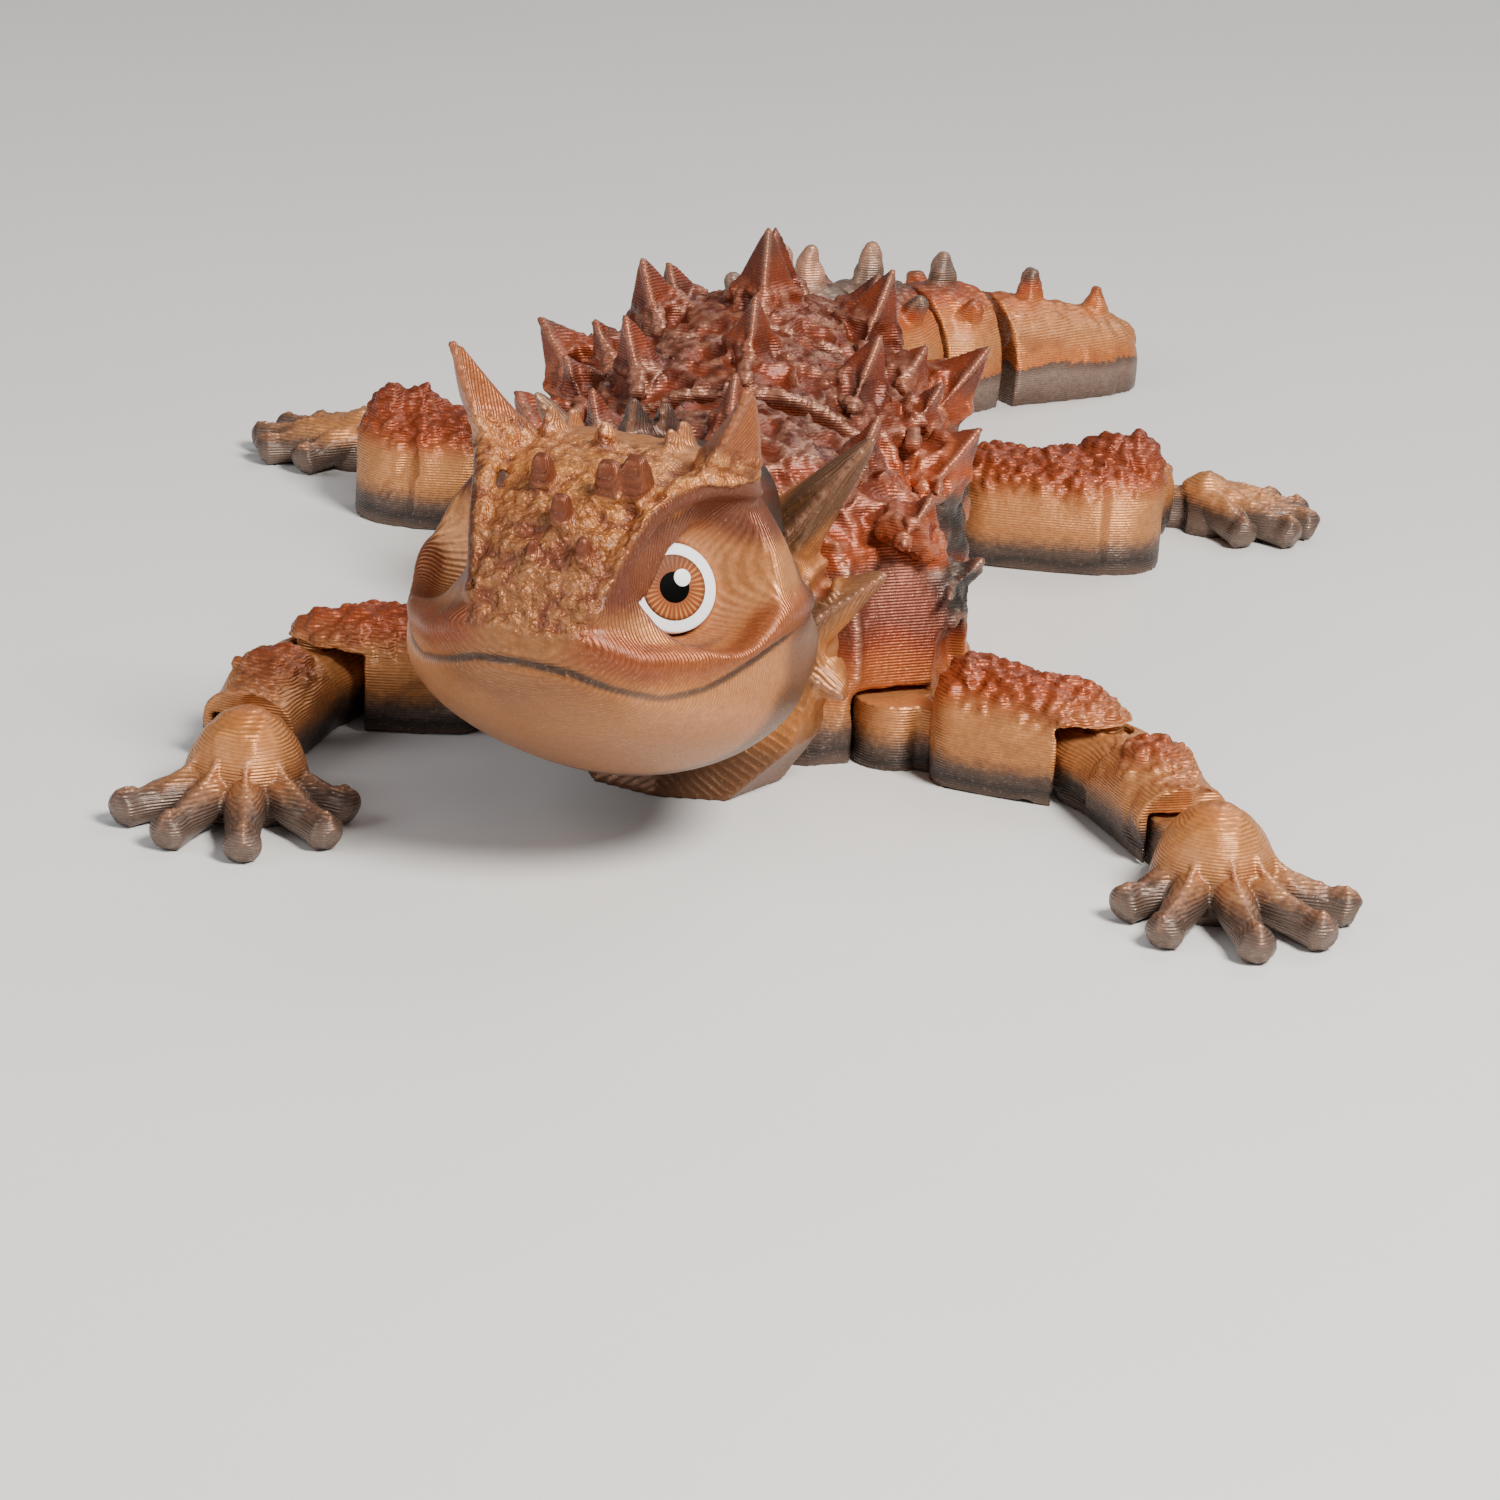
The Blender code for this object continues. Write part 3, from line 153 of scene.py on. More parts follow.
IRIS_RADIUS = 2.1
PUPIL_RADIUS = 1.0
GLINT_RADIUS = 0.6
EYE_GAP = 0.1


def smooth(edge0, edge1, value):
    """Smooth step from 0 at edge0 to 1 at edge1."""
    share = min(1.0, max(0.0, (value - edge0) / (edge1 - edge0)))
    return share * share * (3.0 - 2.0 * share)


def mix(low, high, share):
    return low + (high - low) * share


def between(table, value):
    """Smoothly read a short table of (place, size) pairs."""
    for (place0, size0), (place1, size1) in zip(table, table[1:]):
        if value <= place1:
            return mix(size0, size1, smooth(place0, place1, value))
    return table[-1][1]


def plan_dir(turn):
    """Unit direction in plan for a turn in degrees clockwise from +Y."""
    return Vector((math.sin(math.radians(turn)), math.cos(math.radians(turn)), 0.0))


def turn_of(start, end):
    return math.degrees(math.atan2(end[0] - start[0], end[1] - start[1]))


def turned_by(first, then):
    """Turn from one direction to the next, between -180 and 180 degrees."""
    return (then - first + 180.0) % 360.0 - 180.0


def step(start, turn, length):
    direction = plan_dir(turn)
    return (start[0] + direction.x * length, start[1] + direction.y * length)


def temporary(name, bm):
    """Wrap a bmesh, in millimetres, as a closed mesh object with its faces pointing out."""
    bmesh.ops.recalc_face_normals(bm, faces=bm.faces)
    mesh = bpy.data.meshes.new(name)
    bm.to_mesh(mesh)
    bm.free()
    obj = bpy.data.objects.new(name, mesh)
    work.objects.link(obj)
    return obj


def loft(rings):
    """Skin a list of rings of equal count and close both ends with a fan."""
    bm = bmesh.new()
    rows = [[bm.verts.new(point) for point in ring] for ring in rings]
    count = len(rings[0])
    for low, high in zip(rows, rows[1:]):
        for i in range(count):
            j = (i + 1) % count
            bm.faces.new((low[i], low[j], high[j], high[i]))
    for row in (rows[0], rows[-1]):
        middle = bm.verts.new(sum((v.co for v in row), Vector()) / count)
        for i in range(count):
            bm.faces.new((row[i], row[(i + 1) % count], middle))
    return temporary("loft", bm)


def drum(radius, low, high, centre=(0.0, 0.0), sides=DRUM_SIDES):
    """Upright cylinder from the height low to the height high."""
    bm = bmesh.new()
    bmesh.ops.create_cone(bm, cap_ends=True, segments=sides, radius1=radius, radius2=radius,
                          depth=high - low, matrix=Matrix.Translation((*centre, (low + high) / 2)))
    return temporary("drum", bm)


def box(low, high):
    bm = bmesh.new()
    size = [b - a for a, b in zip(low, high)]
    middle = [(a + b) / 2 for a, b in zip(low, high)]
    bmesh.ops.create_cube(bm, size=1.0,
                          matrix=Matrix.Translation(middle) @ Matrix.Diagonal((*size, 1.0)))
    return temporary("box", bm)


def swept(points, radii, sides):
    """Round bar through points with a radius at each, closed at both ends."""
    points = [Vector(p) for p in points]
    rings = []
    for i, (point, radius) in enumerate(zip(points, radii)):
        ahead = points[min(i + 1, len(points) - 1)] - points[max(i - 1, 0)]
        turn = ahead.to_track_quat("Z", "Y").to_matrix()
        ring = []
        for k in range(sides):
            angle = 2 * math.pi * k / sides
            offset = Vector((math.cos(angle) * radius, math.sin(angle) * radius, 0.0))
            ring.append(point + turn @ offset)
        rings.append(ring)
    return loft(rings)


def keep_largest(obj):
    """Drop every closed surface but the one of largest extent."""
    bm = bmesh.new()
    bm.from_mesh(obj.data)
    left = set(bm.verts)
    shells = []
    while left:
        seed = left.pop()
        shell = {seed}
        front = [seed]
        while front:
            vert = front.pop()
            for edge in vert.link_edges:
                other = edge.other_vert(vert)
                if other in left:
                    left.remove(other)
                    shell.add(other)
                    front.append(other)
        shells.append(shell)

    def extent(shell):
        return sum(max(v.co[k] for v in shell) - min(v.co[k] for v in shell) for k in range(3))

    shells.sort(key=extent, reverse=True)
    for shell in shells[1:]:
        bmesh.ops.delete(bm, geom=list(shell), context="VERTS")
    bmesh.ops.dissolve_degenerate(bm, edges=bm.edges, dist=0.002)
    bmesh.ops.triangulate(bm, faces=bm.faces)
    bm.to_mesh(obj.data)
    bm.free()


def combine(target, tools, operation):
    """Join or cut the target with a collection of closed meshes, and remove them."""
    if not tools:
        return target
    group = bpy.data.collections.new("tools")
    for tool in tools:
        work.objects.unlink(tool)
        group.objects.link(tool)
    work.children.link(group)
    modifier = target.modifiers.new("combine", "BOOLEAN")
    modifier.operation = operation
    modifier.operand_type = "COLLECTION"
    modifier.collection = group
    modifier.solver = "EXACT"
    bpy.context.view_layer.update()
    result = bpy.data.meshes.new_from_object(target.evaluated_get(bpy.context.evaluated_depsgraph_get()))
    target.modifiers.clear()
    target.data = result
    for tool in list(group.objects):
        bpy.data.objects.remove(tool, do_unlink=True)
    bpy.data.collections.remove(group)
    return target


def soft(edge0, edge1, values):
    """Smooth step over an array."""
    share = np.clip((values - edge0) / (edge1 - edge0), 0.0, 1.0)
    return share * share * (3.0 - 2.0 * share)


def flowing(points, per_gap=6):
    """Points of a smooth curve through the given ones."""
    points = [Vector(p) for p in points]
    padded = [points[0] * 2 - points[1]] + points + [points[-1] * 2 - points[-2]]
    made = []
    for i in range(1, len(padded) - 2):
        before, start, end, after = padded[i - 1:i + 3]
        for k in range(per_gap):
            t = k / per_gap
            made.append(0.5 * (2 * start + (end - before) * t
                               + (2 * before - 5 * start + 4 * end - after) * t * t
                               + (3 * start - before - 3 * end + after) * t ** 3))
    made.append(points[-1])
    return made


def flowing_bar(points, radii, sides=14, per_gap=6):
    """Round bar on a smooth curve, its radius running evenly from point to point."""
    curve = flowing(points, per_gap)
    sizes = [between_even(radii, i / per_gap) for i in range(len(curve))]
    return swept(curve, sizes, sides)


def between_even(sizes, place):
    low = min(int(place), len(sizes) - 2)
    return mix(sizes[low], sizes[low + 1], smooth(0.0, 1.0, place - low))


def thorn(root, direction, length, radius, sides, tip, sunk=0.35, flat=0.85, hollow=0.08):
    """Thorn with an edge towards the front, its sides slightly hollow, and the line of that edge."""
    direction = Vector(direction).normalized()
    root = Vector(root)
    front = FRONT - direction * FRONT.dot(direction)
    front = front.normalized() if front.length > 0.1 else UP
    across = direction.cross(front)
    rings = []
    for i in range(-2, THORN_STEPS + 1):
        share = i / THORN_STEPS if i >= 0 else i / 2 * sunk
        taper = 1.0 - share
        size = tip + (radius - tip) * taper * (1.0 - hollow * math.sin(math.pi * max(share, 0.0)))
        if i == THORN_STEPS:
            size *= THORN_CUT
        middle = root + direction * length * share
        ring = []
        for k in range(sides):
            angle = 2 * math.pi * k / sides
            ring.append(middle + front * math.cos(angle) * size + across * math.sin(angle) * size * flat)
        rings.append(ring)
    edge = [ring[0] for ring in rings[2:]]
    return loft(rings), edge


def even_surface(obj, voxel):
    """Melt the fused shapes into one evenly meshed skin."""
    modifier = obj.modifiers.new("even", "REMESH")
    modifier.mode = "VOXEL"
    modifier.voxel_size = voxel
    modifier.adaptivity = 0.0
    bpy.context.view_layer.update()
    result = bpy.data.meshes.new_from_object(obj.evaluated_get(bpy.context.evaluated_depsgraph_get()))
    obj.modifiers.clear()
    obj.data = result
    keep_largest(obj)


def eased(mesh, spots, share, rounds):
    """Spots drawn towards the middle of their neighbours, each by its own share, a number of times."""
    ends = np.empty(len(mesh.edges) * 2, dtype=np.int32)
    mesh.edges.foreach_get("vertices", ends)
    ends = ends.reshape(-1, 2)
    count = np.bincount(ends.ravel(), minlength=len(spots))[:, None]
    for _ in range(rounds):
        near = np.column_stack([np.bincount(ends[:, 0], spots[ends[:, 1], k], len(spots))
                                + np.bincount(ends[:, 1], spots[ends[:, 0], k], len(spots))
                                for k in range(3)])
        spots = spots + (near / count - spots) * share[:, None] * 0.6
    return spots


def cells(spots, size, where, shift=0.0):
    """Distance to the nearest cell's middle and to its wall, in cell sizes, where the mask is on."""
    middle = np.full(len(spots), 0.5)
    wall = np.full(len(spots), 0.5)
    for i in np.flatnonzero(where > 0.01):
        x, y, z = spots[i] / size
        near = noise.voronoi((x + shift, y, z))[0]
        middle[i] = near[0]
        wall[i] = near[1] - near[0]
    return middle, wall


def grain(spots, size, where, shift=0.0):
    """Smooth noise from -1 to 1 where the mask is on."""
    made = np.zeros(len(spots))
    for i in np.flatnonzero(where > 0.01):
        x, y, z = spots[i] / size
        made[i] = noise.noise((x + shift, y, z))
    return made


def ridges_on(spots, lines):
    """Height of the ridges along lines of (points, width, height, bead radius), and the painted highlight
    along them.
    """
    rise = np.zeros(len(spots))
    pale = np.zeros(len(spots))
    for points, width, height, _ in lines:
        done = 0.0
        for start, end in zip(points, points[1:]):
            start, end = np.array(start), np.array(end)
            run = end - start
            length = np.linalg.norm(run)
            if length < 1e-6:
                continue
            margin = 3 * width
            near = np.flatnonzero(np.all((spots > np.minimum(start, end) - margin)
                                         & (spots < np.maximum(start, end) + margin), axis=1))
            offset = spots[near] - start
            share = np.clip(offset @ run / length ** 2, 0.0, 1.0)
            gap = np.linalg.norm(offset - share[:, None] * run, axis=1)
            bump = np.exp(-(gap / width) ** 2)
            beaded = 0.62 + 0.38 * np.cos(2 * math.pi * (done + share * length) / BEAD)
            rise[near] = np.maximum(rise[near], height * bump * beaded)
            pale[near] = np.maximum(pale[near], bump ** 2 * (0.55 + 0.45 * beaded))
            done += length
    return rise, pale


def cast(name, parts, cuts, look, world, voxel, relief=None, lines=(), pins=(),
         warts=None, ease=None):
    """Fuse and cut the parts, even out the skin, carve it and lay it over its CAD node."""
    obj = parts[0]
    combine(obj, parts[1:], "UNION")
    combine(obj, cuts, "DIFFERENCE")
    combine(obj, pins, "UNION")
    if warts:
        spacing, size, low, high, start, end = warts
        WARTS.grow(obj, Spacing=spacing, Size=size, Low=low, High=high, Start=start, End=end,
                   Seed=len(name) + int(10 * spacing), Look=look)
    beads = beads_for(lines, look)
    if beads:
        laid_in(obj, beads)
    even_surface(obj, voxel)
    mesh = obj.data
    spots = np.empty(len(mesh.vertices) * 3)
    mesh.vertices.foreach_get("co", spots)
    spots = spots.reshape(-1, 3)
    if ease:
        spots = eased(mesh, spots, *ease(spots))
        mesh.vertices.foreach_set("co", spots.ravel())
        mesh.update()
    normals = np.empty(len(mesh.vertices) * 3)
    mesh.vertex_normals.foreach_get("vector", normals)
    normals = normals.reshape(-1, 3)
    rise, masks = relief(spots, normals) if relief else (np.zeros(len(spots)), {})
    ridge_rise, pale = ridges_on(spots, lines)
    rise = rise + ridge_rise
    masks["pale"] = np.maximum(masks.get("pale", 0.0), pale)
    moved = spots + normals * rise[:, None]
    mesh.vertices.foreach_set("co", moved.ravel())
    for mask in ("pale", "rust", "dusk", "rough"):
        values = np.broadcast_to(masks.get(mask, 0.0), len(spots)).astype(np.float32)
        mesh.attributes.new(mask, "FLOAT", "POINT").data.foreach_set("value", np.clip(values, 0.0, 1.0))
    mesh.polygons.foreach_set("use_smooth", [True] * len(mesh.polygons))
    mesh.transform(world @ Matrix.Diagonal((MM, MM, MM, 1.0)))
    mesh.update()
    return dress(obj, name, look)


def dress(obj, node, look, body=None):
    """Name, paint and hang a finished piece on the body of the CAD node that it stands for."""
    obj.name = node + "_skin"
    obj.data.name = obj.name
    obj.data.materials.clear()
    obj.data.materials.append(look)
    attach(obj, body or node)
    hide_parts(node)
    return obj


# Materials

class Field:
    """A node's output: Python sums and products on it become Math nodes."""

    def __init__(self, finish, socket):
        self.finish = finish
        self.socket = socket

    def maths(self, operation, first, second):
        return self.finish.node("Math", {"operation": operation}, {0: first, 1: second})

    def __add__(self, other):
        return self.maths("ADD", self, other)

    def __radd__(self, other):
        return self.maths("ADD", other, self)

    def __sub__(self, other):
        return self.maths("SUBTRACT", self, other)

    def __rsub__(self, other):
        return self.maths("SUBTRACT", other, self)

    def __mul__(self, other):
        return self.maths("MULTIPLY", self, other)

    def __rmul__(self, other):
        return self.maths("MULTIPLY", other, self)

    def __truediv__(self, other):
        return self.maths("DIVIDE", self, other)


class Finish:
    """One material and the nodes that it is built from."""

    def __init__(self, name, **constants):
        self.made = bpy.data.materials.new(name)
        self.made.use_nodes = True
        self.tree = self.made.node_tree
        self.shader = self.tree.nodes["Principled BSDF"]
        self.fill(self.shader, constants)

    def fill(self, node, sockets):
        for key, value in sockets.items():
            socket = node.inputs[key.replace("_", " ") if isinstance(key, str) else key]
            if isinstance(value, Field):
                self.tree.links.new(value.socket, socket)
            else:
                socket.default_value = value

    def node(self, kind, settings=None, sockets=None, output=0):
        made = self.tree.nodes.new("ShaderNode" + kind)
        for key, value in (settings or {}).items():
            if key == "stops":
                ramp = made.color_ramp
                while len(ramp.elements) > 1:
                    ramp.elements.remove(ramp.elements[-1])
                ramp.elements[0].position, ramp.elements[0].color = value[0][0], (*value[0][1], 1.0)
                for place, colour in value[1:]:
                    ramp.elements.new(place).color = (*colour, 1.0)
            else:
                setattr(made, key, value)
        self.fill(made, sockets or {})
        return Field(self, made.outputs[output])

    def paint(self, **sockets):
        self.fill(self.shader, sockets)
        return self.made

    def mask(self, name):
        return self.node("Attribute", {"attribute_name": name}, {}, "Fac")

    def millimetres(self):
        place = self.node("TexCoord", output="Object")
        return self.node("VectorMath", {"operation": "SCALE"}, {0: place, "Scale": 1 / MM})

    def cloud(self, spot, scale, detail=2.0):
        return self.node("TexNoise", {}, {"Vector": spot, "Scale": scale, "Detail": detail}, "Fac")

    def mixed(self, under, over, share, kind="MIX"):
        if not isinstance(under, Field):
            under = (*under, 1.0)
        if not isinstance(over, Field):
            over = (*over, 1.0)
        return self.node("Mix", {"data_type": "RGBA", "blend_type": kind}, {0: share, 6: under, 7: over}, 2)

    def clamped(self, value, low, high):
        return self.node("MapRange", {}, {"Value": value, 1: low, 2: high, 3: 0.0, 4: 1.0})


# Plastic colours, as the spool runs from one to the next
CHARCOAL = (0.040, 0.031, 0.027)
TAUPE = (0.15, 0.095, 0.07)
ASH = (0.30, 0.215, 0.17)
TAN = (0.64, 0.27, 0.09)
GOLD = (0.62, 0.245, 0.06)
APRICOT = (0.66, 0.205, 0.05)
RUST = (0.27, 0.05, 0.014)
EMBER = (0.47, 0.09, 0.018)
MAROON = (0.105, 0.02, 0.009)
ROSE = (0.70, 0.37, 0.24)
BODY_STOPS = ((0.0, TAUPE), (0.055, CHARCOAL), (0.10, TAUPE), (0.15, TAN), (0.24, APRICOT), (0.29, RUST),
              (0.33, CHARCOAL), (0.43, CHARCOAL), (0.47, TAUPE), (0.50, EMBER), (0.56, EMBER), (0.64, RUST),
              (0.74, MAROON), (0.86, RUST), (1.0, TAUPE))
BODY_RANGE = 27.0
LIMB_STOPS = ((0.0, TAUPE), (0.10, CHARCOAL), (0.22, TAUPE), (0.36, TAN), (0.62, TAN), (0.80, EMBER),
              (1.0, RUST))
LIMB_RANGE = 9.0
TAIL_STOPS = ((0.0, TAUPE), (0.18, ASH), (0.23, TAUPE), (0.25, APRICOT), (0.42, TAN), (0.56, APRICOT),
              (0.66, EMBER), (0.74, TAUPE), (0.86, ASH), (1.0, ROSE))
TAIL_RANGE = 14.0
PAW_STOPS = ((0.0, TAUPE), (0.12, ASH), (0.28, TAUPE), (0.42, TAN), (0.6, TAN), (0.8, GOLD), (1.0, APRICOT))
PAW_RANGE = 7.5
HEAD_STOPS = ((0.0, CHARCOAL), (0.11, CHARCOAL), (0.19, TAUPE), (0.28, TAN), (0.45, TAN), (0.62, TAN),
              (0.8, GOLD), (0.92, (0.34, 0.13, 0.04)), (1.0, (0.40, 0.17, 0.06)))
HEAD_RANGE = 28.0
NECK_STOPS = ((0.0, TAUPE), (0.2, TAN), (0.5, GOLD), (0.8, APRICOT), (1.0, TAUPE))
NECK_RANGE = 26.0
NECK_START = -6.0


def silk(name, stops, span, axis=(0.0, 0.0, 1.0), start=0.0, lines=1.0):
    """Silky plastic, printed in layers along axis, that runs through the stops from start over span."""
    finish = Finish(name, Metallic=0.5, IOR=1.46)
    finish.shader.inputs["Coat Roughness"].default_value = 0.3
    spot = finish.millimetres()
    height = finish.node("VectorMath", {"operation": "DOT_PRODUCT"}, {0: spot, 1: axis}, "Value") - start
    drift = finish.cloud(spot, 0.16, 2.0)
    fleck = finish.cloud(spot, 2.6, 3.0)
    level = (height + (drift - 0.5) * 3.0 * (span / 27.0 + 0.2) + (fleck - 0.5) * 0.9) / span
    colour = finish.node("ValToRGB", {"stops": stops}, {"Fac": level}, "Color")
    wave = finish.node("Math", {"operation": "SINE"}, {0: height * (2 * math.pi / LAYER)})
    ring = wave * 0.5 + 0.5
    # Rust-brown where the skin has it, and also as painted shade under the brow, in pits and in hollows.
    colour = finish.mixed(colour, RUST, finish.mask("rust"))
    # Charcoal where the plastic is dark, and as painted shade in hollows, pits, dimples and under the brow.
    colour = finish.mixed(colour, CHARCOAL, finish.mask("dusk") * (0.9 + (fleck - 0.5) * 0.3))
    # Rose over crests, ridges and pebbles: mostly painted highlight.
    colour = finish.mixed(colour, ROSE, finish.mask("pale") * 0.52)
    tint = finish.clamped(fleck, 0.3, 0.75)
    colour = finish.mixed(colour, (0.58, 0.46, 0.38), 0.6 - tint * 0.55, "MULTIPLY")
    colour = finish.mixed(colour, (0.45, 0.38, 0.33), ring * (0.3 * lines), "MULTIPLY")
    # Specks of painted sparkle highlight: pale gold in the colour, and glossier in the roughness and coat.
    gloss_and_highlight = finish.clamped(finish.cloud(spot, 5.5, 1.0), 0.62, 0.78)
    colour = finish.mixed(colour, (0.95, 0.70, 0.46), gloss_and_highlight * 0.12)
    hammered = finish.mask("rough") * finish.cloud(spot, 1.9, 3.0)
    relief = wave * (0.02 * lines) + fleck * 0.05 + gloss_and_highlight * 0.008 + hammered * 0.5
    bump = finish.node("Bump", {}, {"Strength": 0.9, "Distance": MM, "Height": relief})
    return finish.paint(Base_Color=colour, Roughness=0.42 - gloss_and_highlight * 0.14 + (drift - 0.5) * 0.16,
                        Coat_Weight=0.12 + gloss_and_highlight * 0.3, Normal=bump)


def eye_paint(name, colour, roughness, spokes=0.0, rim=(0.5, 0.5, 0.5), shine=0.5):
    """Smooth enamel of an eye piece, with darker spokes, rim and painted shade under the lid where asked."""
    finish = Finish(name, IOR=1.46, Specular_IOR_Level=shine)
    spot = finish.millimetres()
    cloud = finish.cloud(spot, 1.6, 3.0)
    shade = finish.mixed(colour, rim, (1.0 - finish.clamped(cloud, 0.25, 0.7)) * 0.12)
    if spokes:
        ray = finish.node("Math", {"operation": "SINE"}, {0: finish.mask("turn") * spokes})
        reach = finish.mask("reach")
        spread = finish.clamped(ray, 0.1, 0.9) * finish.clamped(reach, 0.45, 0.75) * 0.7
        shade = finish.mixed(shade, (0.60, 0.24, 0.05), spread)
        shade = finish.mixed(shade, (0.07, 0.02, 0.008), finish.clamped(reach, 0.86, 1.0) * 0.8)
        # Painted shade over the part of the iris under the lid.
        shade = finish.mixed(shade, (0.10, 0.03, 0.012), finish.mask("lid") * 0.7)
    bump = finish.node("Bump", {}, {"Strength": 0.5, "Distance": MM, "Height": cloud * 0.03})
    gloss = 0.25 * shine
    return finish.paint(Base_Color=shade, Roughness=roughness + cloud * 0.1, Coat_Weight=cloud * gloss,
                        Normal=bump)


# What repeats: beads along the ridges and warts on the skin, grown with Geometry Nodes

class Growth:
    """A geometry node tree with named inputs, built from its nodes."""

    PREFIXES = {"Math": "ShaderNode", "SeparateXYZ": "ShaderNode", "CombineXYZ": "ShaderNode",
                "RandomValue": "FunctionNode"}

    def __init__(self, name, **inputs):
        self.tree = bpy.data.node_groups.new(name, "GeometryNodeTree")
        self.sockets = {}
        for label, kind in (("Geometry", "Geometry"), *inputs.items()):
            made = self.tree.interface.new_socket(label, in_out="INPUT", socket_type="NodeSocket" + kind)
            self.sockets[label] = made.identifier
        self.tree.interface.new_socket("Geometry", in_out="OUTPUT", socket_type="NodeSocketGeometry")
        self.entry = self.tree.nodes.new("NodeGroupInput")

    def given(self, label):
        return Field(self, self.entry.outputs[label])

    def node(self, kind, settings=None, sockets=None, output=0):
        made = self.tree.nodes.new(self.PREFIXES.get(kind, "GeometryNode") + kind)
        for key, value in (settings or {}).items():
            setattr(made, key, value)
        for key, values in (sockets or {}).items():
            for value in values if isinstance(values, list) else [values]:
                if isinstance(value, Field):
                    self.tree.links.new(value.socket, made.inputs[key])
                else:
                    made.inputs[key].default_value = value
        return Field(self, made.outputs[output])

    def ending(self, geometry):
        """Realise the instances, paint them and send them out."""
        solid = self.node("RealizeInstances", {}, {"Geometry": geometry})
        painted = self.node("SetMaterial", {}, {"Geometry": solid, "Material": self.given("Look")})
        out = self.tree.nodes.new("NodeGroupOutput")
        self.tree.links.new(painted.socket, out.inputs[0])
        return self

    def grow(self, obj, **values):
        """Run the tree on an object, and keep what it makes as the object's plain mesh."""
        modifier = obj.modifiers.new("grow", "NODES")
        modifier.node_group = self.tree
        for label, value in values.items():
            modifier[self.sockets[label]] = value
        bpy.context.view_layer.update()
        result = bpy.data.meshes.new_from_object(obj.evaluated_get(bpy.context.evaluated_depsgraph_get()))
        obj.modifiers.clear()
        obj.data = result
        return obj


def bead_tree():
    """Beads in a row along every line of a mesh of edges, as large as its bead attribute says."""
    tree = Growth("beads_on_lines", Spacing="Float", Seed="Int", Look="Material")
    curve = tree.node("MeshToCurve", {}, {"Mesh": tree.given("Geometry")})
    row = tree.node("ResampleCurve", {"mode": "LENGTH"}, {"Curve": curve, "Length": tree.given("Spacing")})
    size = tree.node("InputNamedAttribute", {"data_type": "FLOAT"}, {"Name": "bead"})
    vary = tree.node("RandomValue", {"data_type": "FLOAT"}, {2: 0.82, 3: 1.15, "Seed": tree.given("Seed")}, 1)
    ball = tree.node("MeshIcoSphere", {}, {"Radius": 1.0, "Subdivisions": 2})
    beads = tree.node("InstanceOnPoints", {}, {"Points": row, "Instance": ball, "Scale": size * vary})
    return tree.ending(beads)


def wart_tree():
    """Flattened warts strewn over the faces between two heights and two places along a piece."""
    tree = Growth("warts_on_skin", Spacing="Float", Size="Float", Low="Float", High="Float", Start="Float",
                  End="Float", Seed="Int", Look="Material")
    place_axes = tree.node("SeparateXYZ", {}, {0: tree.node("InputPosition")}).socket.node.outputs
    facing = tree.node("SeparateXYZ", {}, {0: tree.node("InputNormal")}).socket.node.outputs
    allowed = 1.0
    for axes, axis, sign, limit in ((place_axes, 2, "GREATER_THAN", tree.given("Low")),
                                    (place_axes, 2, "LESS_THAN", tree.given("High")),
                                    (place_axes, 1, "GREATER_THAN", tree.given("Start")),
                                    (place_axes, 1, "LESS_THAN", tree.given("End")),
                                    (facing, 1, "LESS_THAN", 0.6), (facing, 1, "GREATER_THAN", -0.6),
                                    (facing, 2, "GREATER_THAN", -0.1)):
        allowed = tree.node("Math", {"operation": sign}, {0: Field(tree, axes[axis]), 1: limit}) * allowed
    points = tree.node("DistributePointsOnFaces", {"distribute_method": "POISSON"},
                       {"Mesh": tree.given("Geometry"), "Distance Min": tree.given("Spacing"),
                        "Density Max": 4.0, "Density Factor": allowed, "Seed": tree.given("Seed")})
    turned = Field(tree, points.socket.node.outputs["Rotation"])
    vary = tree.node("RandomValue", {"data_type": "FLOAT"}, {2: 0.45, 3: 1.0, "Seed": tree.given("Seed")}, 1)
    size = tree.given("Size") * vary
    shape = tree.node("CombineXYZ", {}, {0: size, 1: size, 2: size * 0.62})
    ball = tree.node("MeshIcoSphere", {}, {"Radius": 1.0, "Subdivisions": 2})
    warts = tree.node("InstanceOnPoints", {},
                      {"Points": points, "Instance": ball, "Rotation": turned, "Scale": shape})
    return tree.ending(tree.node("JoinGeometry", {}, {0: [tree.given("Geometry"), warts]}))


def beads_for(lines, look):
    """Rows of beads on those lines that ask for them, as one object."""
    spots = []
    edges = []
    sizes = []
    for points, _, _, bead in lines:
        if bead > 0.0:
            edges += [(len(spots) + k, len(spots) + k + 1) for k in range(len(points) - 1)]
            sizes += [bead] * len(points)
            spots += [tuple(point) for point in points]
    if not spots:
        return None
    mesh = bpy.data.meshes.new("bead_lines")
    mesh.from_pydata(spots, edges, [])
    mesh.attributes.new("bead", "FLOAT", "POINT").data.foreach_set("value", sizes)
    obj = bpy.data.objects.new("bead_lines", mesh)
    work.objects.link(obj)
    return BEADS.grow(obj, Spacing=BEAD, Seed=11, Look=look)


def laid_in(obj, other):
    """Put another object's faces into this one's mesh, ready to be melted together."""
    bm = bmesh.new()
    bm.from_mesh(obj.data)
    bm.from_mesh(other.data)
    bm.to_mesh(obj.data)
    bm.free()
    bpy.data.objects.remove(other, do_unlink=True)


# Rings and joints

DOME_STEPS = 48


def place(spot, turn, height=0.0):
    """World matrix, in metres, of a piece with its pivot over spot and its +Y along turn."""
    where = Matrix.Translation((spot[0] * MM, spot[1] * MM, height * MM))
    return where @ Matrix.Rotation(-math.radians(turn), 4, "Z")


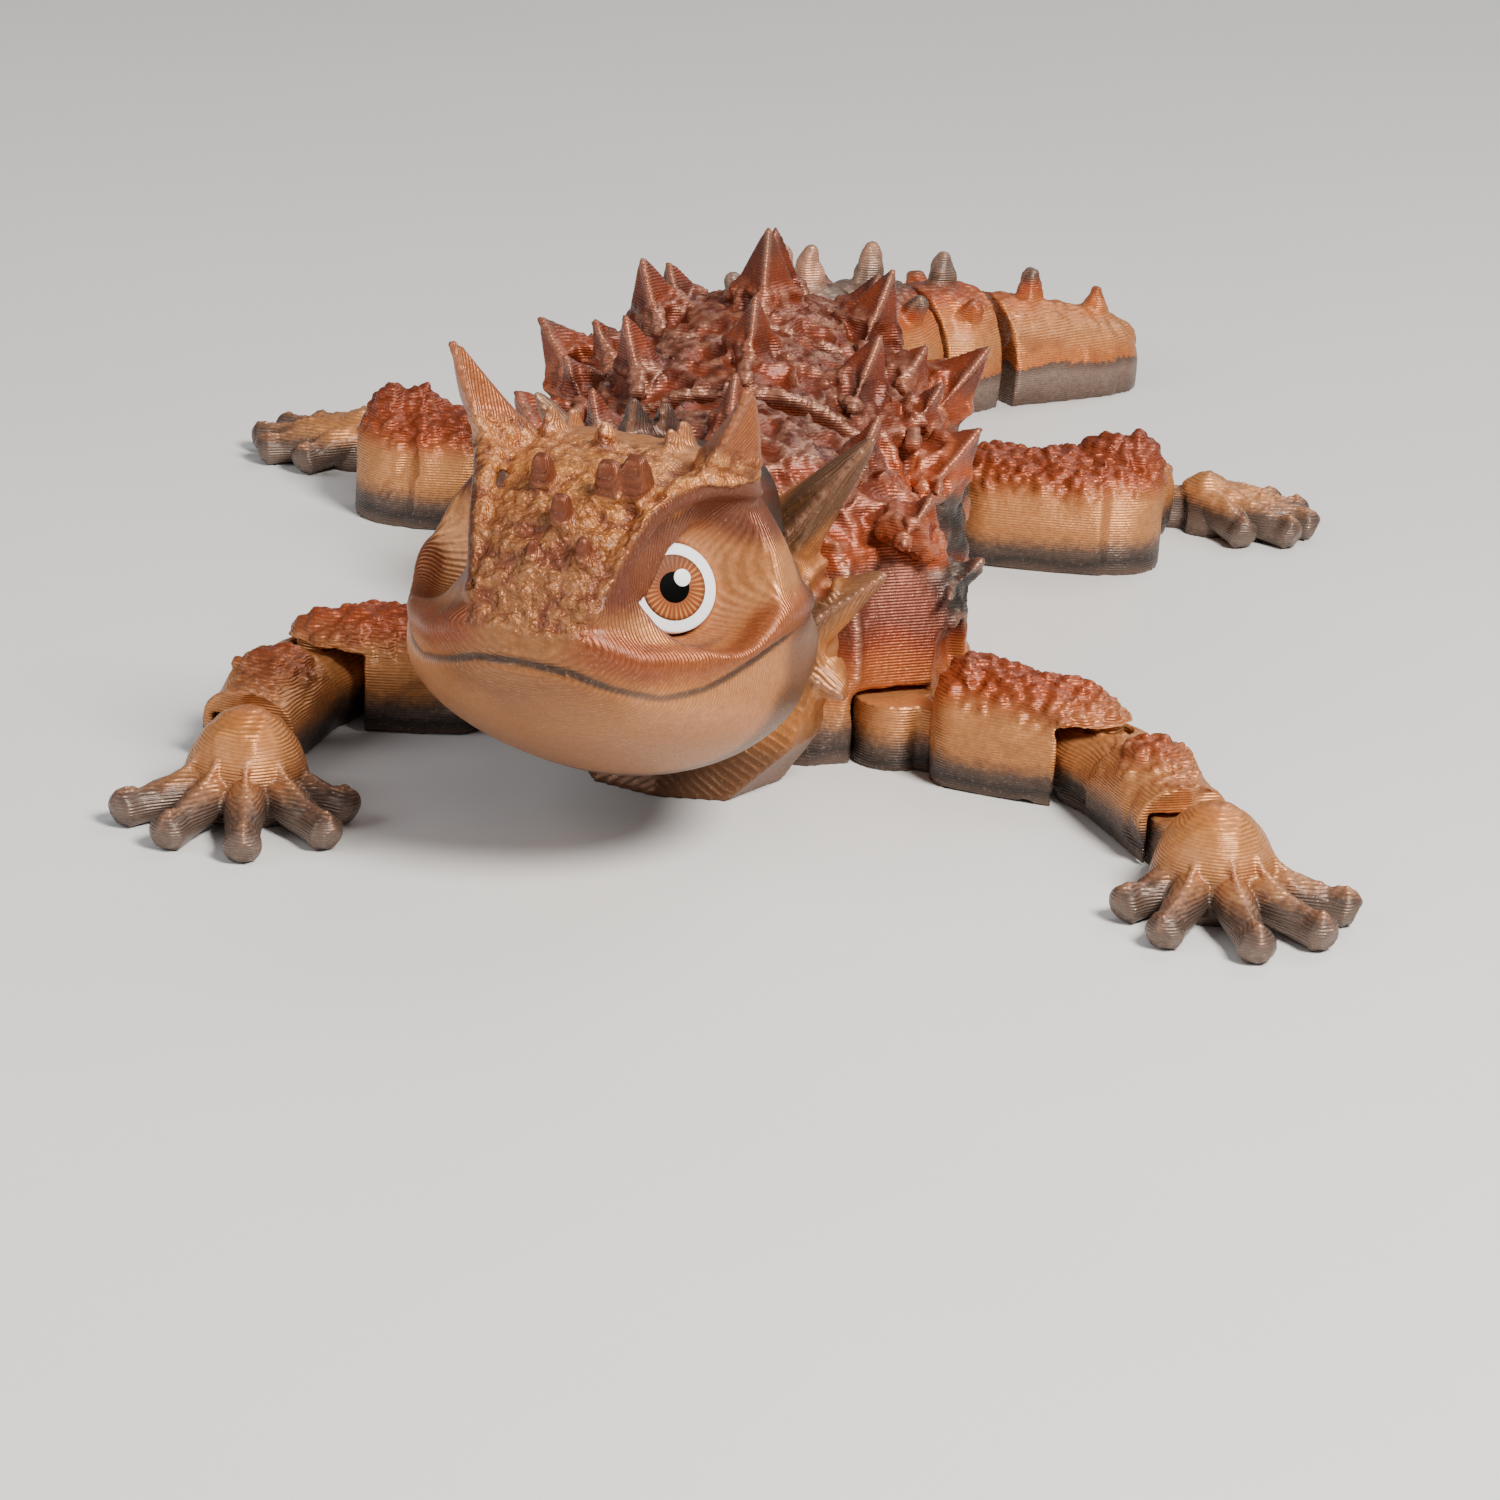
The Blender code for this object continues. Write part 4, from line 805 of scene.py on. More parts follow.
def dome_ring(half_width, height, floor_half, waist, y_at, lean=0.0):
    """Section with a flat underside, walls that swell to the waist and an elliptic top."""
    points = [(0.0, 0.0), (floor_half, 0.0), (mix(floor_half, half_width, 0.75), waist * 0.45)]
    for i in range(DOME_STEPS + 1):
        angle = math.pi * i / DOME_STEPS
        points.append((half_width * math.cos(angle), waist + (height - waist) * math.sin(angle)))
    points.append((-mix(floor_half, half_width, 0.75), waist * 0.45))
    points.append((-floor_half, 0.0))
    return [Vector((x, y_at(x) + z * lean, z)) for x, z in points]


def even_shares(count):
    return [i / (count - 1) for i in range(count)]


def segment_body(front, rear, sizes, sweep_front, sweep_rear, shares, lean_front=0.0, lean_rear=0.0):
    """Lofted body segment whose end faces sweep back in a shallow V to leave room to bend.

    sizes(share) gives half width, height, floor half width and waist height along the segment.
    """
    rings = []
    for share in shares:
        half_width, height, floor_half, waist = sizes(share)

        def y_at(x, share=share):
            ahead = front + abs(x) * math.tan(math.radians(sweep_front))
            behind = rear - abs(x) * math.tan(math.radians(sweep_rear))
            return mix(ahead, behind, share)

        rings.append(dome_ring(half_width, height, floor_half, waist, y_at,
                               mix(lean_front, lean_rear, share)))
    return loft(rings)


def tongue(radius, height, reach):
    """Drum on the pivot and the bar that joins it to the piece behind it."""
    half = radius * BAR_SHARE
    return [drum(radius, 0.0, height), box((-half, 0.0, 0.0), (half, reach, height))]


def pocket(radius, height, centre, mouth=None, low=-1.0, bar_share=BAR_SHARE):
    """Cutters for the pocket that a tongue turns in and, where asked, the mouth its bar swings in.

    mouth gives the turns between which the bar swings, in the piece's own frame, and its reach.
    """
    top = height + POCKET_GAP
    cutters = [drum(radius + POCKET_GAP, low, top, centre)]
    if mouth:
        first, last, reach = mouth
        half = radius * bar_share + POCKET_GAP
        outline = []
        for turn, side in ((first, -1.0), (last, 1.0)):
            along = plan_dir(turn)
            across = plan_dir(turn + 90.0) * side * half
            edge = [across, across + along * reach]
            outline += edge if side < 0.0 else edge[::-1]
        outline.insert(2, plan_dir((first + last) / 2) * reach)
        middle = Vector((centre[0], centre[1], 0.0))
        cutters.append(loft([[middle + spot + UP * z for spot in outline] for z in (low, top - 0.02)]))
    return cutters


def clearance(centre, first, last, near, far, half, top):
    """Cutter that clears the space which the root of a limb swings through."""
    bm = bmesh.new()
    middle = Vector((centre[0], centre[1], 0.0))
    for turn in (first, last):
        for reach in (near, far):
            for side in (-half, half):
                for z in (-1.0, top):
                    bm.verts.new(middle + plan_dir(turn) * reach + plan_dir(turn + 90.0) * side + UP * z)
    bmesh.ops.convex_hull(bm, input=bm.verts)
    return temporary("clearance", bm)


def dome_point(half_width, height, waist, degrees_up, y):
    """Point on the dome, and its outward direction, at an angle up from the toy's left."""
    angle = math.radians(degrees_up)
    point = Vector((half_width * math.cos(angle), y, waist + (height - waist) * math.sin(angle)))
    normal = Vector((math.cos(angle) / half_width, 0.0, math.sin(angle) / (height - waist))).normalized()
    return point, normal


# Sizes of the body

SHOULDER_FRONT = -5.2
SHOULDER_REAR = 12.1
FACE_GAP = 0.5


def shoulder_sizes(share):
    along = mix(SHOULDER_FRONT, SHOULDER_REAR, share)
    swell = smooth(-6.5, 2.0, along)
    half_width = mix(9.8, 17.3, swell) - 1.2 * smooth(5.0, SHOULDER_REAR, along)
    return half_width, mix(19.3, 20.4, swell), mix(7.4, 15.6, smooth(-6.0, -0.6, along)), 6.0


def even_sizes(start, end, pinch=0.0, waist_share=0.32, floor_share=0.92):
    """Sizes that run evenly from (half width, height) at the front to the same at the rear.

    Both ends narrow by shares of pinch, which leaves a crest across the middle.
    """
    def sizes(share):
        half_width = mix(start[0], end[0], share) * (1.0 + 0.05 * math.sin(math.pi * share))
        half_width *= 1.0 - pinch * (1.0 - smooth(0.0, 0.5, share)) - pinch * 0.35 * smooth(0.72, 1.0, share)
        height = mix(start[1], end[1], share) * (1.0 + 0.03 * math.sin(math.pi * share))
        return half_width, height, half_width * floor_share, height * waist_share
    return sizes


BODY = {
    "chest": {"sizes": even_sizes((15.6, 20.8), (15.8, 21.4), 0.18),
              "tongue": (5.2, 7.0, 2.6), "sweep": (6.0, 6.0)},
    "belly": {"sizes": even_sizes((15.8, 21.2), (15.0, 20.6), 0.18),
              "tongue": (5.2, 7.0, 2.6), "sweep": (6.0, 6.0)},
    "hip": {"sizes": even_sizes((14.4, 19.6), (10.6, 15.6), 0.16),
            "tongue": (5.2, 7.0, 2.6), "sweep": (6.0, 10.0)},
    "tail_1": {"sizes": even_sizes((9.8, 14.8), (8.8, 13.2), 0.12),
               "tongue": (3.6, 5.0, 1.8), "sweep": (10.0, 10.0)},
    "tail_2": {"sizes": even_sizes((8.4, 12.8), (7.4, 11.4), 0.12),
               "tongue": (3.2, 4.6, 1.6), "sweep": (11.0, 11.0)},
    "tail_3": {"sizes": even_sizes((7.1, 11.2), (6.3, 10.2), 0.12),
               "tongue": (2.8, 4.2, 1.4), "sweep": (11.0, 11.0)},
    "tail_4": {"sizes": even_sizes((6.1, 10.0), (5.5, 9.2), 0.12),
               "tongue": (2.5, 3.8, 1.3), "sweep": (11.0, 8.0)},
    "tail_5": {"sizes": even_sizes((5.3, 8.8), (3.5, 5.6)), "tongue": (2.3, 3.4, 1.2), "sweep": (8.0, 0.0)},
}
# Spines: degrees up from the side, share of the way back, length and base radius
SPINES = {
    "chest": ((90.0, 0.5, 4.4, 2.6), (62.0, 0.4, 4.4, 2.5), (44.0, 0.64, 3.0, 2.0), (32.0, 0.45, 4.2, 3.0)),
    "belly": ((90.0, 0.5, 5.8, 3.2), (62.0, 0.5, 5.0, 2.8), (46.0, 0.3, 3.0, 2.0), (34.0, 0.6, 5.0, 3.2)),
    "hip": ((90.0, 0.35, 4.8, 2.6), (60.0, 0.3, 4.2, 2.4), (52.0, 0.72, 3.0, 1.9), (30.0, 0.25, 3.6, 2.4)),
    "tail_1": ((90.0, 0.5, 3.6, 1.5), (48.0, 0.5, 2.8, 1.3)),
    "tail_2": ((90.0, 0.5, 3.4, 1.4), (48.0, 0.5, 2.4, 1.2)),
    "tail_3": ((90.0, 0.5, 3.0, 1.3), (48.0, 0.5, 2.0, 1.0)),
    "tail_4": ((90.0, 0.45, 2.8, 1.2), (48.0, 0.5, 1.6, 0.9)),
    "tail_5": ((90.0, 0.28, 2.4, 1.1), (90.0, 0.72, 2.2, 1.0)),
}
SHOULDER_SPINES = ((90.0, 0.58, 4.0, 1.9), (60.0, 0.6, 3.8, 1.9), (42.0, 0.42, 3.0, 2.2),
                   (22.0, 0.6, 2.4, 1.8))
# Middles of the ringed warts on the left flank of the shoulders
SHOULDER_WARTS = ((16.2, 5.6, 6.0), (16.6, 3.0, 8.6), (14.6, -2.6, 10.2), (16.4, 8.4, 8.2), (15.0, 9.4, 4.6))


def chain_turn(name):
    """Direction of a chain segment, from its own pivot to the next one."""
    if name == "tail_5":
        return TAIL_5_TURN
    return turn_of(PIVOTS[name], PIVOTS[CHAIN[CHAIN.index(name) + 1]])


def chain_length(name):
    if name == "tail_5":
        return TAIL_5_LENGTH
    return math.dist(PIVOTS[name], PIVOTS[CHAIN[CHAIN.index(name) + 1]])


def local_spot(spot, centre, turn):
    """Plan point seen from a centre whose +Y runs along turn."""
    offset = Vector((spot[0] - centre[0], spot[1] - centre[1], 0.0))
    seen = Matrix.Rotation(math.radians(turn), 3, "Z") @ offset
    return (seen.x, seen.y)


def girdle_spot(centre, turn, reach, back, side):
    left = plan_dir(turn + 90.0)
    along = plan_dir(turn)
    return (centre[0] + left.x * reach * side + along.x * back,
            centre[1] + left.y * reach * side + along.y * back)


# Drums of the joints: radius and height, or radius, underside and top
NECK_TONGUE = (4.0, 3.4, 8.4)
HEAD_TONGUE = (3.2, 6.2, 14.2)
ARM_TONGUE = (2.7, 4.6)
HAND_TONGUE = (2.2, 3.2)
THIGH_TONGUE = (3.0, 5.0)
SHIN_TONGUE = (2.4, 4.0)
FOOT_TONGUE = (2.0, 3.0)
TIP_TONGUE = (1.6, 2.6)
LAST_TONGUE = (1.2, 1.7)


def rounded_end(sizes, front, rear, radius):
    """Narrow the end of a segment to a round of the given radius in plan."""
    def narrowed(share):
        half_width, height, floor_half, waist = sizes(share)
        past = mix(front, rear, share) - (rear - radius)
        if past > 0.0:
            limit = math.sqrt(max(0.0, radius * radius - past * past))
            shrink = limit / half_width
            return limit, mix(height * 0.75, height, shrink), limit * 0.95, waist
        return half_width, height, floor_half, waist
    return narrowed


# Neck, head and limb shapes

HEAD_LEAN = math.tan(math.radians(HEAD_PITCH))
NECK_FRONT = -11.75
NECK_REAR = -4.1
# Collar horns: degrees up from the side, tip and base radius
NECK_HORNS = ((52.0, (11.6, -4.9, 24.6), 2.3), (22.0, (13.0, -4.5, 15.4), 1.8), (0.0, (11.4, -6.9, 7.2), 1.5))


def neck_sizes(share):
    return mix(9.6, 10.0, share), mix(19.4, 19.8, share), mix(4.6, 7.0, share), 8.0


def forehead_height(v):
    return between(FOREHEAD, v)


def head_widths(v):
    """Cheek half width, brow half width, top and bottom of the head's section, v behind the snout."""
    run = min(v / CHEEK_LENGTH, 1.0)
    cheek = HEAD_HALF_WIDTH * math.sqrt(max(0.0, 1.0 - (1.0 - run) ** 2))
    cheek = mix(cheek, RIM_HALF_WIDTH, smooth(CHEEK_LENGTH, HEAD_LENGTH, v))
    brow = between(BROW_WIDTHS, v)
    bottom = JAW_DEPTH * (1.0 - (1.0 - v / HEAD_LENGTH) ** 2.6) ** 0.8
    bottom *= mix(1.0, 0.82, smooth(13.0, HEAD_LENGTH, v))
    return cheek, brow, forehead_height(v), bottom


def superellipse(half_x, half_z, angle, power):
    """Polar radius of a superellipse at an angle."""
    across = abs(math.cos(angle)) / half_x
    above = abs(math.sin(angle)) / half_z
    return (across ** power + above ** power) ** (-1.0 / power)


def head_radius(v, angle):
    """Distance from the head's axis to its surface: cheeks and jaw blended with the brow block."""
    cheek, brow, top, bottom = head_widths(v)
    if math.sin(angle) < 0.0:
        return superellipse(cheek, bottom, angle, mix(2.1, 1.35, smooth(9.0, 25.0, v)))
    low = superellipse(cheek, min(between(CHEEK_HEIGHTS, v), top), angle, mix(2.0, 2.8, smooth(4.0, 12.0, v)))
    high = superellipse(brow, top, angle, 3.6)
    power = 9.0
    return (low ** power + high ** power) ** (1.0 / power)


# Lines on the left of the head, mirrored to the right: brow edge, upper lip and mouth
BROW_EDGE = ((9.5, -12.2, 12.2), (8.7, -14.4, 12.5), (7.4, -16.8, 12.35), (6.5, -18.8, 11.6),
             (5.8, -20.7, 10.5), (5.3, -22.0, 8.7), (4.8, -22.8, 6.7), (4.3, -23.3, 4.9),
             (3.8, -23.5, 3.6))
BROW_RADII = (0.6, 0.9, 1.05, 1.0, 0.85, 0.75, 0.7, 0.6, 0.5)
LIP = ((0.0, -24.9, 1.4), (4.0, -24.1, 2.0), (6.9, -22.5, 1.3), (9.3, -19.3, 1.6), (11.0, -16.3, 2.9),
       (12.1, -11.9, 4.8), (12.1, -8.6, 5.6))
MOUTH = ((0.0, -24.9, 0.3), (3.2, -24.4, 0.1), (5.7, -23.1, -0.6), (8.1, -21.1, -0.85), (10.1, -18.9, 0.0),
         (11.45, -16.2, 1.5), (12.3, -12.9, 3.2), (12.55, -10.9, 4.1))
JAW_CORNER = (11.6, -4.0, 3.0)
# Eye socket in the frame of the eye: height, half width, half height, shift outward and shift upward
SOCKET = ((-0.02, 3.2, 3.2, 0.0, 0.0), (1.5, 4.6, 4.3, 0.9, 0.5), (3.5, 6.6, 5.6, 2.1, 1.2),
          (7.0, 9.6, 7.2, 4.1, 2.0))
# Upper lid in the same frame: points of its edge, the way it runs back from each in degrees, its heights
LID_EDGE = ((1.3, 4.3), (0.0, 3.14), (-0.8, 2.22), (-1.37, 0.81), (-1.84, -0.48), (-2.65, -1.49),
            (-3.9, -2.9))
LID_WAYS = (84.0, 99.0, 127.0, 165.0, 183.0, 201.0, 217.0)
LID_LOW = 1.0
LID_THICK = 0.4


def distance_to(path, point):
    """Distance from a point to the line through the path's points."""
    nearest = (point - Vector(path[-1])).length
    for start, end in zip(path, path[1:]):
        run = Vector(end) - Vector(start)
        share = min(1.0, max(0.0, (point - Vector(start)).dot(run) / run.length_squared))
        nearest = min(nearest, (point - Vector(start) - run * share).length)
    return nearest


def hump(gap, width):
    """1 on a line, falling smoothly to 0 at a width from it."""
    return 1.0 - smooth(0.0, width, gap)


def face_relief(point):
    """Height of the lip roll and the jaw corner above the plain head."""
    spot = Vector((abs(point.x), point.y, point.z))
    return 0.5 * hump(distance_to(LIP, spot), 1.7) + 0.7 * hump((spot - Vector(JAW_CORNER)).length, 4.0)


def head_point(v, angle):
    radius = head_radius(v, angle)
    point = Vector((radius * math.cos(angle), v + RIM - HEAD_LENGTH, radius * math.sin(angle)))
    outward = Vector((point.x, min(0.0, point.y + 12.0), point.z)).normalized()
    return point + outward * face_relief(point) * smooth(HEAD_LENGTH, HEAD_LENGTH - 2.0, v)


HORN_BASE = (6.3, -13.2, 11.6)
HORN_TIP = (9.9, -18.3, 18.5)
HORN_RADIUS = 3.6
HORN_FLAT = 0.8
# Thorns and flakes of the forehead: place across, place behind the snout, length
CROWN_HORNS = ((-4.6, 12.0, 2.4), (-6.0, 19.0, 1.7), (-6.4, 23.6, 1.3), (-0.2, 10.2, 2.3), (-3.6, 24.0, 2.7),
               (-2.2, 26.0, 2.7), (3.4, 12.6, 2.1), (1.2, 20.4, 2.0), (5.4, 20.6, 1.8))
BROW_FLAKES = ((-1.6, 3.8, 2.2), (0.6, 2.2, 2.0), (2.8, 4.0, 2.5), (4.4, 4.4, 2.8),
               (2.7, 1.3, 1.6), (-0.6, 1.1, 1.3))
NOSTRIL = (3.9, -24.0, 4.3)
SOCKET_SIDES = 64
GROOVE_RADII = (0.3, 0.3, 0.3, 0.3, 0.3, 0.3, 0.26, 0.12)


def eye_matrix(side):
    """Frame of an eye: its +Z looks out of the face."""
    facing = Vector((EYE_FACING[0] * side, EYE_FACING[1], EYE_FACING[2])).normalized()
    centre = Vector((EYE_CENTRE[0] * side, EYE_CENTRE[1], EYE_CENTRE[2]))
    across = UP.cross(facing).normalized()
    turn = Matrix((across, facing.cross(across), facing)).transposed().to_4x4()
    return Matrix.Translation(centre) @ turn


def socket_cutter(side):
    """Cone that opens outward and up from around the eye."""
    rings = []
    for height, half_width, half_height, outward, upward in SOCKET:
        middle = Vector((outward * side, upward, height))
        turns = [math.tau * k / SOCKET_SIDES for k in range(SOCKET_SIDES)]
        rings.append([middle + Vector((math.sin(turn) * half_width, math.cos(turn) * half_height, 0.0))
                      for turn in turns])
    return loft(rings)


def eye_lid(side):
    """Lid that runs from the nose side of the socket out over the edge of the eye."""
    rings = []
    clear = EYE_RADIUS + 4.0 * EYE_GAP
    for (across, up), way in zip(LID_EDGE, LID_WAYS):
        back = (math.cos(math.radians(way)), math.sin(math.radians(way)))
        inward = -(across * back[0] + up * back[1])
        inside = inward ** 2 - across ** 2 - up ** 2 + clear ** 2
        rim = max(0.1, inward + math.sqrt(inside)) if inside > 0.0 else 0.1
        profile = ((0.0, LID_LOW), (0.0, LID_LOW + LID_THICK), (1.6, 2.2), (3.4, 3.9), (3.4, -0.2),
                   (rim, -0.2), (rim, LID_LOW - 0.02))
        rings.append([Vector(((across + back[0] * run) * side, up + back[1] * run, height))
                      for run, height in profile])
    return loft(rings)


def in_frame(obj, matrix):
    obj.data.transform(matrix)
    return obj


def limb_sizes(near, far, floor_share=0.84, waist_share=0.45, swell=0.08):
    """Half width and height run from near to far with a slight swell between."""
    def sizes(share):
        bulge = 1.0 + swell * math.sin(math.pi * share)
        half_width = mix(near[0], far[0], share) * bulge
        height = mix(near[1], far[1], share)
        return half_width, height, half_width * floor_share, height * waist_share
    return sizes


def rounded_start(sizes, front, rear, radius):
    """Round the near end of a limb in plan, about a centre one radius behind its face."""
    def narrowed(share):
        half_width, height, floor_half, waist = sizes(share)
        before = front + radius - mix(front, rear, share)
        if before > 0.0:
            limit = math.sqrt(max(0.0, 1.0 - (before / radius) ** 2))
            shrink = mix(0.45, 1.0, limit)
            return half_width * shrink, height * mix(0.72, 1.0, limit), floor_half * shrink, waist
        return half_width, height, floor_half, waist
    return narrowed


ELBOW_RADIUS = 4.0
ELBOW_HEIGHT = 5.2
ELBOW_PIN = (1.25, 1.75)
ROOF_BACK = 1.9


def elbow_sizes(share):
    """Forearm: a round bulb on the elbow pivot, then a waist that widens to the wrist."""
    y = mix(-ELBOW_RADIUS, FOREARM_LENGTH + 1.4, share)
    if y < 0.5:
        half_width = math.sqrt(max(0.16, ELBOW_RADIUS ** 2 - min(y, 0.0) ** 2))
        height = mix(3.8, ELBOW_HEIGHT, half_width / ELBOW_RADIUS)
    else:
        half_width = mix(ELBOW_RADIUS, 3.3, smooth(0.5, 3.6, y))
        height = mix(ELBOW_HEIGHT, 6.9, smooth(4.6, 6.4, y)) - 1.3 * smooth(8.0, FOREARM_LENGTH, y)
    return half_width, height, half_width * 0.8, height * 0.5


KNEE_BACK = 1.4
KNEE_BUMPS = (-1.7, 0.5)
# Half width and height of each limb piece at its near and its far end
LIMB_ENDS = {"upper_arm": ((4.4, 8.5), (3.9, 7.2)), "forearm": ((3.6, 7.0), (3.3, 6.2)),
             "thigh": ((5.2, 8.0), (5.0, 8.6)), "shin": ((3.4, 7.6), (2.8, 5.0))}
# Share of the way out, height and radius of a toe at five places
TOE_SECTIONS = ((0.15, 2.2, 1.6), (0.5, 1.7, 1.35), (0.78, 1.15, 1.15), (0.93, 1.1, 1.3), (1.0, 0.9, 0.8))


# Skin reliefs: each gives the rise in millimetres and masks for the colours

def dome_share(spots, sizes, front, rear):
    """How far out each spot is, 1 on the plain dome, and its height as a share of the dome's."""
    shares = np.linspace(0.0, 1.0, 25)
    rows = np.array([sizes(share) for share in shares])
    along = np.clip((spots[:, 1] - front) / (rear - front), 0.0, 1.0)
    half_width, height, waist = (np.interp(along, shares, rows[:, k]) for k in (0, 1, 3))
    above = np.maximum(spots[:, 2] - waist, 0.0) / (height - waist)
    return np.hypot(spots[:, 0] / half_width, above), spots[:, 2] / height


def trunk_relief(sizes, front, rear, warts=(), shift=0.0):
    """Hollow facets between roped ridges on the back, dark scales on the flank and warts below, with painted
    highlight on ropes, scale crests and wart rings and painted shade in the hollows and scale middles.
    """
    def relief(spots, normals):
        out, _ = dome_share(spots, sizes, front, rear)
        z = spots[:, 2]
        skin = (1.0 - soft(0.55, 0.85, np.abs(normals[:, 1]))) * soft(0.6, 0.8, out) * soft(0.4, 1.4, z)
        plain = 1.0 - soft(1.07, 1.16, out)
        wander = grain(spots, 5.0, skin, shift) * 1.6
        back = skin * soft(12.2, 14.0, z + wander)
        flank = skin * soft(7.6, 9.2, z + wander) * (1.0 - soft(12.2, 14.0, z + wander))
        belt = skin * soft(1.8, 3.0, z) * (1.0 - soft(7.6, 9.2, z + wander))
        bent = spots + 0.5 * np.column_stack([grain(spots, 1.6, back, shift + k)
                                              for k in (20.0, 30.0, 40.0)])
        middle, wall = cells(bent, 3.5, back * plain, shift)
        rope = 1.0 - soft(0.07, 0.24, wall)
        strand = grain(spots, 0.55, back, shift) * (0.1 + 0.2 * rope)
        rise = back * plain * (0.42 * rope - 0.5 * soft(0.12, 0.6, wall)) + strand * back * plain
        middle, _ = cells(spots, 1.9, (flank + belt) * plain, shift + 4.0)
        rise += flank * plain * (0.36 - 0.85 * middle) + belt * plain * (0.16 - 0.36 * middle)
        crest = flank * (1.0 - soft(0.15, 0.34, middle))
        broken = soft(-0.35, 0.3, grain(spots, 0.9, back + crest, shift + 9.0))
        # Painted highlight on the ropes, on the crests of the flank scales and, below, on the wart rings.
        pale = back * plain * rope * broken * 0.6 + crest * broken * 0.4
        rust = 0.75 * back * (1.0 - rope) * soft(-0.7, 0.2, grain(spots, 3.0, back, shift + 12.0))
        for wart in warts:
            gap = np.linalg.norm(spots - np.array(wart), axis=1)
            ring = np.exp(-((gap - 0.85) / 0.3) ** 2) * skin
            rise += 0.42 * ring
            pale = np.maximum(pale, ring * 0.8)
            rust = np.maximum(rust, np.exp(-(gap / 0.5) ** 2))
        rust = np.maximum(rust, 0.6 * (1.0 - soft(0.9, 1.0, out)) * soft(3.0, 6.0, z))
        # Painted shade in the hollows between the ropes and in the middles of the flank scales.
        dusk = 0.5 * back * (1.0 - rope) * (1.0 - soft(-0.5, 0.1, grain(spots, 2.2, back, shift + 15.0)))
        dusk = np.maximum(dusk, 0.55 * flank * soft(0.35, 0.6, middle))
        return rise, {"pale": pale, "rust": rust, "dusk": dusk}
    return relief


def limb_relief(sizes, front, rear, shift=0.0, from_share=0.66, lump=0.45):
    """Pebbled warts along the top, on lumps that make the outline uneven, and dimples in smooth sides."""
    def relief(spots, normals):
        _, up = dome_share(spots, sizes, front, rear)
        top = soft(from_share, from_share + 0.2, up + 0.1 * grain(spots, 2.4, up > 0.3, shift))
        top = top * soft(-0.3, 0.2, normals[:, 2])
        middle, _ = cells(spots, 0.95, top, shift)
        swell = grain(spots, 2.6, up > 0.3, shift + 5.0)
        rise = top * (0.28 - 0.62 * middle) + soft(0.45, 0.8, up) * lump * swell
        pebble = top * (1.0 - soft(0.15, 0.4, middle))
        patchy = soft(-0.5, 0.5, grain(spots, 1.8, top, shift + 8.0) + 0.15)
        dimple = soft(0.35, 0.6, grain(spots, 3.1, 1.0 - top, shift + 2.0)) * (1.0 - top)
        # Painted highlight on the pebbles, painted shade in the dimples.
        return rise - 0.3 * dimple, {"rust": top * (0.22 + 0.4 * patchy) * (1.0 - 0.6 * pebble),
                                     "pale": 0.35 * pebble * patchy, "dusk": 0.12 * dimple}
    return relief


def tail_relief(sizes, front, rear, shift=0.0):
    """Low pebbles on the top of a tail ring, faint folds on its sides and a plain foot."""
    def relief(spots, normals):
        out, up = dome_share(spots, sizes, front, rear)
        top = soft(0.62, 0.85, up) * soft(-0.3, 0.2, normals[:, 2])
        middle, _ = cells(spots, 1.3, top, shift)
        swell = grain(spots, 2.4, up > 0.3, shift + 5.0)
        rise = top * (0.16 - 0.36 * middle) + soft(0.4, 0.8, up) * 0.22 * swell
        pebble = top * (1.0 - soft(0.15, 0.42, middle))
        fold = soft(0.2, 0.6, grain(spots, 2.2, 1.0 - top, shift + 2.0)) * soft(0.22, 0.4, up)
        fold = fold * (1.0 - top)
        # Painted highlight on the pebbles.
        return rise + 0.15 * fold, {"pale": 0.4 * pebble, "rust": 0.35 * fold,
                                    "dusk": 0.3 * soft(1.1, 1.4, out)}
    return relief


# Body

def build_shoulder():
    body = segment_body(SHOULDER_FRONT, SHOULDER_REAR, shoulder_sizes, 5.0, 9.0, even_shares(25),
                        lean_front=HEAD_LEAN)
    spines, lines = spine_rows(SHOULDER_SPINES, shoulder_sizes, SHOULDER_FRONT, SHOULDER_REAR)
    chest_radius, chest_height, _ = BODY["chest"]["tongue"]
    neck_radius, neck_low, neck_high = NECK_TONGUE
    cuts = pocket(neck_radius, neck_high, local_spot(PIVOTS["neck"], SHOULDER_CENTRE, SHOULDER_TURN),
                  low=neck_low - POCKET_GAP)
    cuts += pocket(chest_radius, chest_height, local_spot(PIVOTS["chest"], SHOULDER_CENTRE, SHOULDER_TURN))
    for side_name, side in SIDES.items():
        socket = (SHOULDER_REACH[side_name] * side, SHOULDER_BACK)
        rest = side * ARM_REST
        cuts += pocket(*ARM_TONGUE, socket, mouth=(rest - ARM_SWING, rest + ARM_SWING, 6.0))
        cuts.append(clearance(socket, rest - 12.0, rest + 12.0, 3.0, 9.0, 4.4, 8.9))
    lines += rim_lines(shoulder_sizes, SHOULDER_FRONT, 5.0, HEAD_LEAN)
    warts = [(x * side, y, z) for side in SIDES.values() for x, y, z in SHOULDER_WARTS]
    cast("shoulders", [body] + spines, cuts, BODY_SILK, place(SHOULDER_CENTRE, SHOULDER_TURN),
         VOXELS["shoulders"], trunk_relief(shoulder_sizes, SHOULDER_FRONT, SHOULDER_REAR, warts), lines,
         warts=(1.9, 0.75, 8.0, 13.0, SHOULDER_FRONT + 6.5, SHOULDER_REAR - 2.4))


